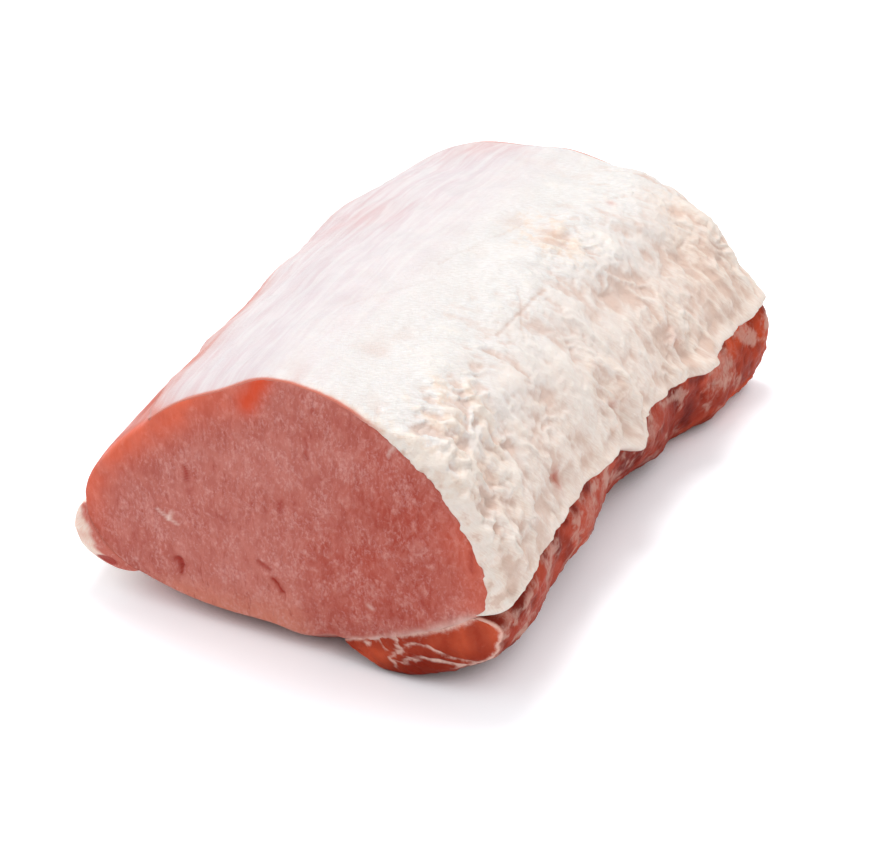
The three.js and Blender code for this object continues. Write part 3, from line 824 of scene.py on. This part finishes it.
def cut_end(side):
    """Points of one cut end, side -1 in front and 1 at the far end, with their masks."""
    t = 0.5 + 0.5 * side
    seed = 200 if side < 0 else 260
    reach = eye_reach(t, face_angle)
    inwards = reach * (1 - face_share)
    points = place(t, face_angle, reach * face_share)
    x, z = points[..., 0], points[..., 2]
    spots = flat(x, z)
    sway = 0.5 * rough(spots, 3.0, seed + 11, 2)
    depths, shade_in_slits = knife_marks(side, x + sway, z + 0.5 * sway)
    bundles = rough(flat(x * 1.25, z * 0.8), 3.4, seed + 5, 3, 0.6)
    relief = 0.55 * rough(spots, 26, seed, 2) + 0.16 * bundles + 0.10 * lumps(spots, 1.5, seed + 9) - depths
    out = 2.3 * (1 - face_share ** 2) - rounded_off(inwards) + smoothstep(inwards, 0, 2.5) * relief
    points[..., 1] = side * (LENGTH / 2 + out)

    tissue = 0.65 * sum(hill(distance_to_line(x + sway, z - sway, *ends) / 0.6) for ends in THREADS)
    band = hill(inwards / (1.3 + 1.9 * smoothstep(face_angle, 310, 350)))
    band = band * (0.7 + 0.5 * rough(spots, 5, seed + 13, 3))
    hem = np.clip(0.4 + rough(spots, 7, seed + 15, 2), 0, 1) * hill(inwards / 1.1)
    tissue = tissue + sector(face_angle, 298, 306, 352, 359) * band
    tissue = tissue + 0.7 * sector(face_angle, 250, 262, 292, 300) * hem
    tone = 0.5 + 0.5 * sum(share * hill((x - u) / size, (z - v) / size) for u, v, size, share in TONES)
    raw_right = smoothstep(face_angle, 352, 360) + 1 - smoothstep(face_angle, 18, 34)
    raw_edge = sector(face_angle, 96, 124, 176, 196) * hill(inwards / 7.5)
    raw_edge = raw_edge + 0.4 * raw_right * hill(inwards / 8)
    salmon = sector(face_angle, 200, 212, 262, 290) * hill(inwards / 12)
    blood = hill(distance_to_line(x + sway, z, *BLOOD_LINE) / 3.6)
    masks = dict(raw_edge=raw_edge, blood=blood, painted_slit_shade=shade_in_slits, tissue=tissue, tone=tone, salmon=salmon)
    return points, masks


front_points, front_masks = cut_end(-1)
far_points, far_masks = cut_end(1)
print("front cut end bulges, mm:", round(float(-LENGTH / 2 - front_points[..., 1].min()), 2))

# %% The flank between the cut ends, and the whole eye
station_share = np.linspace(0, 1, EYE_STATIONS + 1)[1:-1][:, None]
front_y = front_points.reshape(-1, 3)[rim, 1]
far_y = far_points.reshape(-1, 3)[rim, 1]
flank_y = front_y * (1 - station_share) + far_y * station_share
flank_t = flank_y / LENGTH + 0.5
flank_angle = np.broadcast_to(rim_angle, flank_t.shape)
flank_map = flat(-flank_angle * DEGREE * FLAT_RADIUS, flank_y)
bare = sector(flank_angle, 140, 150, 214, 226)
fade_in = np.clip(np.minimum(station_share, 1 - station_share) * LENGTH / 6, 0, 1)
strands = lumps(flat(flank_map[..., 0], flank_y / 14), 2.6, 301)
flank_relief = fade_in * (0.15 * strands + 0.4 * rough(flat(flank_map[..., 0], flank_y / 2.5), 11, 305, 2))
flank_reach = eye_reach(flank_t, flank_angle) + flank_relief * (0.25 + 0.75 * bare)
flank_points = place(flank_t, flank_angle, flank_reach)


def eye_faces(steps, stations):
    count, around = (steps + 1) ** 2, 4 * steps
    front = np.array(sheet_faces(steps + 1, steps + 1))
    far = front[:, ::-1] + count
    first = 2 * count
    rings = [rim] + [first + k * around + np.arange(around) for k in range(stations - 1)] + [rim + count]
    flank = []
    for here, there in zip(rings[:-1], rings[1:]):
        flank.append(np.stack([here, np.roll(here, -1), np.roll(there, -1), there], axis=-1))
    return np.concatenate([front, far] + flank).tolist()


eye_points = np.concatenate([points.reshape(-1, 3) for points in (front_points, far_points, flank_points)])
flank_masks = dict(raw_edge=0.35, blood=0, painted_slit_shade=0, tissue=0, tone=0.5, salmon=0)
eye_masks = {mask: np.concatenate([front_masks[mask].ravel(), far_masks[mask].ravel(),
                                   np.full(flank_points[..., 0].size, float(value))])
             for mask, value in flank_masks.items()}
eye_piece = mesh_piece("loin_eye_meat", eye_points, eye_faces(FACE_STEPS, EYE_STATIONS), eye_masks)
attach(eye_piece, "root")
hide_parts("loin_eye")

# %% [markdown]
# ## Nodes with few words
# A material is a tree of nodes. A small helper adds a node, fills its sockets and links those that get
# another node's output, so that each finish below reads as a short recipe.

# %% The helper


def linear(red, green, blue):
    """A colour as shaders count it, from screen values between 0 and 255."""
    parts = [value / 255 for value in (red, green, blue)]
    return tuple(p / 12.92 if p <= 0.04045 else ((p + 0.055) / 1.055) ** 2.4 for p in parts) + (1.0,)


class Recipe:
    """Adds nodes to one tree. A socket is filled with a value or linked to another socket."""

    def __init__(self, tree):
        self.tree = tree

    def add(self, kind, sockets=None, **settings):
        node = self.tree.nodes.new("ShaderNode" + kind)
        for key, value in settings.items():
            setattr(node, key, value)
        for key, value in (sockets or {}).items():
            if isinstance(value, bpy.types.NodeSocket):
                self.tree.links.new(value, node.inputs[key])
            else:
                node.inputs[key].default_value = value
        return node

    def math(self, operation, *values):
        return self.add("Math", dict(enumerate(values)), operation=operation).outputs[0]

    def product(self, *values):
        return self.math("MULTIPLY", *values)

    def mix(self, share, one, other):
        node = self.add("Mix", {0: share, 6: one, 7: other}, data_type="RGBA")
        return node.outputs[2]

    def lay(self, colour, *coats):
        """Lays coats over a colour. Each is a share, how much of it counts, and three screen values."""
        for share, amount, *screen_values in coats:
            colour = self.mix(self.product(share, amount), colour, linear(*screen_values))
        return colour

    def between(self, value, low, high, new_low=0.0, new_high=1.0):
        sockets = {"Value": value, "From Min": low, "From Max": high, "To Min": new_low, "To Max": new_high}
        return self.add("MapRange", sockets, interpolation_type="SMOOTHSTEP").outputs[0]

    def noise(self, places, scale, detail=2.0, rough_share=0.5, twist=0.0):
        sockets = {"Vector": places, "Scale": scale, "Detail": detail, "Roughness": rough_share,
                   "Distortion": twist}
        return self.add("TexNoise", sockets).outputs["Fac"]

    def mask(self, name):
        return self.add("Attribute", attribute_name=name).outputs["Fac"]

    def stretch(self, places, x, y, z):
        sockets = {0: places, 1: (x, y, z)}
        return self.add("VectorMath", sockets, operation="MULTIPLY").outputs[0]


def effect(name, inputs, outputs):
    """A node group with named inputs and outputs, and its recipe."""
    tree = bpy.data.node_groups.new(name, "ShaderNodeTree")
    for label, kind, value in inputs:
        socket = tree.interface.new_socket(label, in_out="INPUT", socket_type="NodeSocket" + kind)
        if value is not None:
            socket.default_value = value
    for label, kind in outputs:
        tree.interface.new_socket(label, in_out="OUTPUT", socket_type="NodeSocket" + kind)
    return tree, Recipe(tree), tree.nodes.new("NodeGroupInput"), tree.nodes.new("NodeGroupOutput")


def finish(piece, name, **uniform):
    """A new material on a piece, with the Principled sockets that are the same all over."""
    material = bpy.data.materials.new(name)
    material.use_nodes = True
    shader = material.node_tree.nodes["Principled BSDF"]
    for socket, value in uniform.items():
        shader.inputs[socket.replace("_", " ").title().replace("Ior", "IOR")].default_value = value
    piece.data.materials.clear()
    piece.data.materials.append(material)
    return Recipe(material.node_tree), shader


print("full red as shaders count it:", linear(255, 0, 0))

# %% [markdown]
# ## Meat grain
# Cut across, the loin shows the ends of its fibre bundles: pale flecks of fat and tissue between darker
# meat. Cut along, the same bundles are long streaks. Squeezing the coordinates along the loin before the
# noise gives both from one recipe: flecks on the cut end, streaks on the flank.

# %% Group: meat grain
grain_group, g, inlet, outlet = effect(
    "meat_grain",
    [("Places", "Vector", None), ("Fleck Size", "Float", 1.0), ("Stretch Along", "Float", 0.1)],
    [("Flecks", "Float"), ("Mottle", "Float"), ("Strands", "Float"), ("Height", "Float")])
squeeze = g.add("CombineXYZ", {"X": 1.0, "Y": inlet.outputs["Stretch Along"], "Z": 1.0}).outputs[0]
fibre_places = g.add("VectorMath", {0: inlet.outputs["Places"], 1: squeeze}, operation="MULTIPLY").outputs[0]
fleck_scale = g.math("DIVIDE", 900.0, inlet.outputs["Fleck Size"])
fine = g.noise(g.stretch(fibre_places, 1.3, 1.0, 0.8), fleck_scale, 3.0, 0.65, 0.4)
clusters = g.noise(fibre_places, g.product(fleck_scale, 0.13), 3.0, 0.6)
mottle = g.noise(fibre_places, g.product(fleck_scale, 0.05), 3.0, 0.6, 0.6)
strands = g.noise(g.stretch(fibre_places, 1.5, 1.0, 0.6), g.product(fleck_scale, 0.34), 3.0, 0.6, 0.8)
threshold = g.between(clusters, 0.35, 0.66, 0.62, 0.47)
over = g.math("SUBTRACT", fine, threshold)
height = g.math("ADD", g.product(fine, 0.7), g.product(strands, 0.6))
g.tree.links.new(g.between(over, -0.08, 0.22), outlet.inputs["Flecks"])
g.tree.links.new(g.between(mottle, 0.33, 0.67), outlet.inputs["Mottle"])
g.tree.links.new(g.between(strands, 0.35, 0.65), outlet.inputs["Strands"])
g.tree.links.new(height, outlet.inputs["Height"])
print("meat grain nodes:", len(grain_group.nodes))

# %% [markdown]
# ## Fat fibres
# Fat is a felt of fine white threads with soft lobules between them. The threads run slantwise down the
# flank, so the recipe works on the unrolled surface, where a place is (down the flank, along the loin) in
# millimetres.

# %% Group: fat fibres
fibre_group, g, inlet, outlet = effect(
    "fat_fibres",
    [("Places", "Vector", None), ("Slant", "Float", -0.62), ("Thread Size", "Float", 1.0)],
    [("Threads", "Float"), ("Lobules", "Float"), ("Height", "Float")])
turned = g.add("VectorRotate", {"Vector": inlet.outputs["Places"], "Angle": inlet.outputs["Slant"]},
               rotation_type="Z_AXIS").outputs[0]
thread_scale = g.math("DIVIDE", 1.9, inlet.outputs["Thread Size"])
threads = g.noise(g.stretch(turned, 0.16, 1.0, 1.0), thread_scale, 3.0, 0.6, 0.5)
lobules = g.noise(inlet.outputs["Places"], g.product(thread_scale, 0.16), 3.0, 0.6, 0.3)
granules = g.noise(inlet.outputs["Places"], g.product(thread_scale, 0.45), 3.0, 0.7, 0.2)
height = g.math("ADD", g.product(granules, 1.2), g.product(lobules, 0.8))
height = g.math("ADD", g.product(threads, 0.7), height)
g.tree.links.new(g.between(threads, 0.32, 0.68), outlet.inputs["Threads"])
g.tree.links.new(g.between(lobules, 0.34, 0.66), outlet.inputs["Lobules"])
g.tree.links.new(height, outlet.inputs["Height"])
print("fat fibre nodes:", len(fibre_group.nodes))

# %% [markdown]
# ## A moist film
# Raw meat shines in patches: where juice stands it is smooth and bright, and where the air has dried it, it
# is dull. One recipe gives a roughness and a coat that go up and down together.

# %% Group: moist film
film_group, g, inlet, outlet = effect(
    "moist_film",
    [("Places", "Vector", None), ("Dry", "Float", 0.55), ("Wet", "Float", 0.28), ("Coat", "Float", 0.4)],
    [("Roughness", "Float"), ("Coat", "Float")])
pools = g.between(g.noise(inlet.outputs["Places"], 90.0, 3.0, 0.55, 0.4), 0.38, 0.64)
limits = {"Value": pools, "To Min": inlet.outputs["Dry"], "To Max": inlet.outputs["Wet"]}
g.tree.links.new(g.add("MapRange", limits).outputs[0], outlet.inputs["Roughness"])
coat = g.product(inlet.outputs["Coat"], g.between(pools, 0.0, 1.0, 0.35, 1.0))
g.tree.links.new(coat, outlet.inputs["Coat"])
print("moist film nodes:", len(film_group.nodes))

# %% How the materials use the groups


def use(recipe, group, **sockets):
    node = recipe.add("Group", node_tree=group)
    for label, value in sockets.items():
        socket = node.inputs[label.replace("_", " ").title()]
        if isinstance(value, bpy.types.NodeSocket):
            recipe.tree.links.new(value, socket)
        else:
            socket.default_value = value
    return node.outputs


def surface(recipe, shader, colour, film, height, bump_mm, strength):
    """Feeds a Principled shader a colour, a film's roughness and coat, and a bump of the given height."""
    bump = recipe.add("Bump", {"Strength": strength, "Distance": bump_mm * MM, "Height": height})
    for socket, value in (("Base Color", colour), ("Roughness", film["Roughness"]),
                          ("Coat Weight", film["Coat"]), ("Normal", bump.outputs["Normal"])):
        recipe.tree.links.new(value, shader.inputs[socket])
    print("nodes in this finish:", len(recipe.tree.nodes))


# %% [markdown]
# ## The finish of the eye
# Pork is pinker and paler than beef. The cut end is salmon pink in its lower left, greyer in the middle and
# rosy on the right, with a raw orange-red margin under the silverskin, and the flank shows long pale
# streaks. Each finish is laid in coats, as a painter would: a ground colour, then one coat for each thing
# that shows on it.

# %% Eye meat
r, shader = finish(eye_piece, "loin_meat", subsurface_weight=0.12, subsurface_radius=(1.0, 0.35, 0.25),
                   subsurface_scale=0.002, coat_roughness=0.25, specular_ior_level=0.2)
places = r.add("TexCoord").outputs["Object"]
grain = use(r, grain_group, places=places, fleck_size=1.0, stretch_along=0.1)
drift = r.noise(r.stretch(places, 1.0, 0.3, 1.0), 45.0, 3.0, 0.6)
blots = r.noise(r.stretch(places, 1.0, 0.15, 0.75), 270.0, 4.0, 0.65, 0.4)
beads = r.noise(r.stretch(places, 1.0, 0.15, 1.0), 320.0, 3.0, 0.6)
dark_streaks = r.noise(r.stretch(places, 2.0, 0.15, 0.7), 260.0, 3.0, 0.6)
tone = r.math("ADD", r.mask("tone"), r.product(r.math("SUBTRACT", drift, 0.5), 0.9))
inside = r.math("SUBTRACT", 1.0, r.mask("raw_edge"))
raw_share = r.product(r.mask("raw_edge"), r.between(drift, 0.3, 0.6, 0.4, 0.85))
colour = r.lay(
    r.mix(r.between(tone, 0.15, 0.9), linear(176, 70, 54), linear(191, 109, 97)),
    # share, how much of it, red, green, blue
    (grain["Mottle"], 0.5, 164, 62, 47),
    (r.between(blots, 0.48, 0.72), 0.45, 211, 142, 132),
    (grain["Strands"], 0.3, 214, 134, 120),
    (r.mask("salmon"), 0.65, 222, 140, 116),
    (r.between(beads, 0.56, 0.76), 0.45, 222, 160, 150),
    (r.between(dark_streaks, 0.56, 0.74), 0.5, 160, 54, 38),
    (r.product(grain["Flecks"], inside), 0.36, 230, 178, 172),
    (raw_share, 1.0, 236, 102, 66),
    (r.mask("blood"), 1.0, 216, 76, 40),
    # painted shade in the knife slits, dark red
    (r.mask("painted_slit_shade"), 1.0, 156, 30, 8),
    (r.mask("tissue"), 0.8, 236, 206, 196))
film = use(r, film_group, places=places, dry=0.55, wet=0.36, coat=0.08)
surface(r, shader, colour, film, grain["Height"], 0.35, 0.6)

# %% [markdown]
# ## The finish of the strap
# The strap works harder in the animal, so its meat is darker and redder. White tissue follows the seams of
# the cut end and lies in torn patches over the side. The masks come from the mesh, and noise frays their
# edges.

# %% Strap meat
r, shader = finish(strap_piece, "strap_meat", subsurface_weight=0.1, subsurface_radius=(1.0, 0.35, 0.25),
                   subsurface_scale=0.002, coat_roughness=0.25, specular_ior_level=0.06)
places = r.add("TexCoord").outputs["Object"]
grain = use(r, grain_group, places=places, fleck_size=1.3, stretch_along=0.15)
frayed = r.product(r.noise(places, 900.0, 5.0, 0.75), 1.1)
frayed = r.math("ADD", frayed, r.product(r.noise(places, 330.0, 4.0, 0.7), 0.7))
fascia = r.between(r.math("ADD", r.mask("fascia"), frayed), 1.0, 2.0)
side_meat = r.mix(r.mask("far"), linear(184, 74, 54), linear(220, 84, 44))
colour = r.lay(
    r.mix(r.mask("cut_face"), side_meat, linear(228, 102, 66)),
    (grain["Mottle"], 0.9, 146, 44, 28),
    (grain["Strands"], 0.3, 184, 82, 58),
    # painted shade on the low parts of the strap
    (r.mask("low"), 0.9, 112, 18, 5),
    # painted shade in the hollows of the relief
    (r.between(r.mask("painted_shading"), 0.5, 0.95), 0.6, 118, 28, 14),
    # the meat's own dark patches and spots, and painted shade under the fat's lip
    (r.mask("dark_patches_and_lip_shade"), 0.85, 104, 18, 8))
white_tissue = r.mix(r.mask("cut_face"), linear(204, 164, 150), linear(248, 218, 204))
colour = r.mix(r.product(fascia, 0.7), colour, white_tissue)
film = use(r, film_group, places=places, dry=0.55, wet=0.36, coat=0.03)
surface(r, shader, colour, film, grain["Height"], 0.4, 0.6)

# %% [markdown]
# ## The finish of the fat cap
# Three things lie side by side here: white fat with fine threads, warmer cream fat in the crumpled places,
# and the silverskin, a tissue so thin that the pink meat shines through it with a lilac tint.

# %% Fat cap
r, shader = finish(fat_piece, "fat_cap", subsurface_weight=0.15, subsurface_radius=(1.0, 0.75, 0.6),
                   subsurface_scale=0.0012, coat_roughness=0.25, ior=1.42)
skin_places = r.add("Attribute", attribute_name="unrolled").outputs["Vector"]
places = r.add("TexCoord").outputs["Object"]
threads = use(r, fibre_group, places=skin_places, thread_size=0.8)
white = r.mix(threads["Threads"], linear(226, 220, 216), linear(239, 236, 234))
warm = r.mix(threads["Lobules"], linear(240, 222, 206), linear(232, 208, 188))
peach = r.mix(threads["Threads"], linear(249, 234, 223), linear(234, 210, 195))
cream = r.between(r.math("ADD", r.mask("cream"), r.product(threads["Lobules"], 0.25)), 0.25, 0.95)
colour = r.mix(r.product(cream, 0.8), white, warm)
colour = r.mix(r.product(r.mask("flank"), 0.75), colour, peach)
# Painted shade in the hollows of the fat's relief, and painted highlight on its crests.
colour = r.lay(colour, (r.between(r.mask("painted_shading"), 0.5, 1.0), 0.55, 212, 174, 154),
               (r.between(r.mask("painted_shading"), 0.45, 0.0), 0.5, 246, 238, 230))
long_streaks = r.noise(r.stretch(skin_places, 1.0, 0.12, 1.0), 0.22, 5.0, 0.6, 0.9)
silver = r.mix(r.between(long_streaks, 0.3, 0.7), linear(229, 222, 222), linear(220, 205, 209))
sheer = r.math("ADD", r.mask("sheer"), r.product(r.math("SUBTRACT", long_streaks, 0.5), 0.45))
colour = r.lay(
    r.mix(r.mask("membrane"), colour, silver),
    (r.between(sheer, 0.05, 1.0), 1.0, 212, 120, 100),
    (r.mask("scratch"), 0.5, 196, 170, 158),
    (r.mask("lean"), 1.0, 190, 96, 70))
film = use(r, film_group, places=places, dry=0.52, wet=0.34, coat=0.3)
surface(r, shader, colour, film, threads["Height"], 0.5, 0.55)

# %% Edge fat
r, shader = finish(edge_piece, "edge_fat", subsurface_weight=0.25, subsurface_radius=(1.0, 0.7, 0.5),
                   subsurface_scale=0.002, coat_roughness=0.25, ior=1.42)
skin_places = r.add("Attribute", attribute_name="unrolled").outputs["Vector"]
places = r.add("TexCoord").outputs["Object"]
threads = use(r, fibre_group, places=skin_places, slant=0.9, thread_size=0.9)
grain = use(r, grain_group, places=places, fleck_size=1.0, stretch_along=0.1)
lean_meat = r.lay(linear(206, 108, 90), (grain["Mottle"], 0.4, 178, 74, 58),
                  (grain["Flecks"], 0.4, 230, 178, 172))
white = r.mix(threads["Threads"], linear(244, 226, 214), linear(238, 204, 186))
# Painted shade in the hollows of the strip's relief.
colour = r.lay(white, (r.between(r.mask("painted_shading"), 0.5, 1.0), 0.5, 214, 140, 114))
colour = r.mix(r.mask("lean"), colour, lean_meat)
# Painted shade in the notch, very dark red.
colour = r.lay(colour, (r.between(r.mask("shaded_notch"), 0.2, 0.5), 1.0, 166, 34, 6))
film = use(r, film_group, places=places, dry=0.5, wet=0.34, coat=0.3)
surface(r, shader, colour, film, threads["Height"], 0.4, 0.5)

# %% [markdown]
# ## Floor, light and camera
# The roast lies on a white studio floor under a broad light from the upper left, behind it, with white all
# round. The far light leaves the right flank and the floor beside it in a short soft shadow. Cut-out
# photographs are lifted to pure white, so the floor adds a little light of its own to what the camera sees,
# except where the roast hides much of the sky. The very contact is darkened, with the red that the meat
# throws there.

# %% Floor
FLOOR_HALF = 3.0
CONTACT, SHADE = 0.010, 0.06


def make_floor():
    mesh = bpy.data.meshes.new("studio_floor")
    corners = [(-FLOOR_HALF, -FLOOR_HALF, 0), (FLOOR_HALF, -FLOOR_HALF, 0), (FLOOR_HALF, FLOOR_HALF, 0),
               (-FLOOR_HALF, FLOOR_HALF, 0)]
    mesh.from_pydata(corners, [], [(0, 1, 2, 3)])
    floor = bpy.data.objects.new("studio_floor", mesh)
    floor.location.z = -0.00005
    bpy.context.scene.collection.objects.link(floor)
    paint, shader = finish(floor, "studio_floor", roughness=0.7, emission_color=(0.94, 0.95, 1.0, 1))
    near_sky = paint.add("AmbientOcclusion", {"Distance": CONTACT}, samples=6).outputs["AO"]
    wide_sky = paint.add("AmbientOcclusion", {"Distance": SHADE}, samples=6).outputs["AO"]
    colour = paint.mix(paint.between(near_sky, 0.0, 0.45), (0.30, 0.18, 0.15, 1), (0.90, 0.91, 0.93, 1))
    seen = paint.add("LightPath").outputs["Is Camera Ray"]
    lifted = paint.product(paint.product(seen, paint.between(wide_sky, 0.05, 0.52)), 0.34)
    paint.tree.links.new(colour, shader.inputs["Base Color"])
    paint.tree.links.new(lifted, shader.inputs["Emission Strength"])


make_floor()

# %% World and lights
HORIZON_LIGHT, ZENITH_LIGHT = 0.68, 0.70
world = bpy.data.worlds.new("studio")
bpy.context.scene.world = world
world.use_nodes = True
sky = Recipe(world.node_tree)
upwards = sky.add("SeparateXYZ", {0: sky.add("TexCoord").outputs["Generated"]}).outputs["Z"]
dome = sky.add("MapRange", {"Value": upwards, "To Min": HORIZON_LIGHT, "To Max": ZENITH_LIGHT}).outputs[0]
seen = sky.add("LightPath").outputs["Is Camera Ray"]
strength = sky.add("Mix", {0: seen, 2: dome, 3: 1.05}, data_type="FLOAT").outputs[0]
world.node_tree.links.new(strength, world.node_tree.nodes["Background"].inputs["Strength"])
world.node_tree.nodes["Background"].inputs["Color"].default_value = (1, 1, 1, 1)


def softbox(name, place_m, aim_m, size_m, watts, tint=(1, 1, 1)):
    light = bpy.data.lights.new(name, "AREA")
    light.shape = "RECTANGLE"
    light.size, light.size_y = size_m
    light.energy = watts
    light.color = tint
    lamp = bpy.data.objects.new(name, light)
    lamp.location = place_m
    lamp.rotation_mode = "QUATERNION"
    lamp.rotation_quaternion = (Vector(aim_m) - Vector(place_m)).to_track_quat("-Z", "Y")
    bpy.context.scene.collection.objects.link(lamp)


softbox("key_light", (-0.20, 0.20, 1.13), (0, 0, 0.03), (0.40, 0.40), 6.8)
softbox("fill_right", (0.95, -0.30, 0.60), (0, 0, 0.03), (0.60, 0.60), 1.25, (1.0, 0.97, 0.94))
softbox("fill_left", (-0.75, -0.60, 0.45), (0, 0, 0.03), (0.60, 0.60), 1.45, (0.94, 0.96, 1.0))

# %% Camera
AZIMUTH, ELEVATION = 26.5 * DEGREE, 30 * DEGREE
DISTANCE, FOCAL_PIXELS, IMAGE_WIDTH = 750, 2300, 882
AIM = Vector((-0.455, 0, 16.69)) * MM
back = Vector((np.sin(AZIMUTH) * np.cos(ELEVATION), -np.cos(AZIMUTH) * np.cos(ELEVATION), np.sin(ELEVATION)))
view = bpy.data.cameras.new("view")
view.sensor_width = 36
view.lens = FOCAL_PIXELS / IMAGE_WIDTH * view.sensor_width
camera = bpy.data.objects.new("view", view)
camera.location = AIM + back * DISTANCE * MM
camera.rotation_mode = "QUATERNION"
camera.rotation_quaternion = back.to_track_quat("Z", "Y")
bpy.context.scene.collection.objects.link(camera)
bpy.context.scene.camera = camera
bpy.context.scene.view_settings.view_transform = "Standard"
bpy.context.scene.view_settings.look = "None"
print("lens, mm:", round(view.lens, 1))
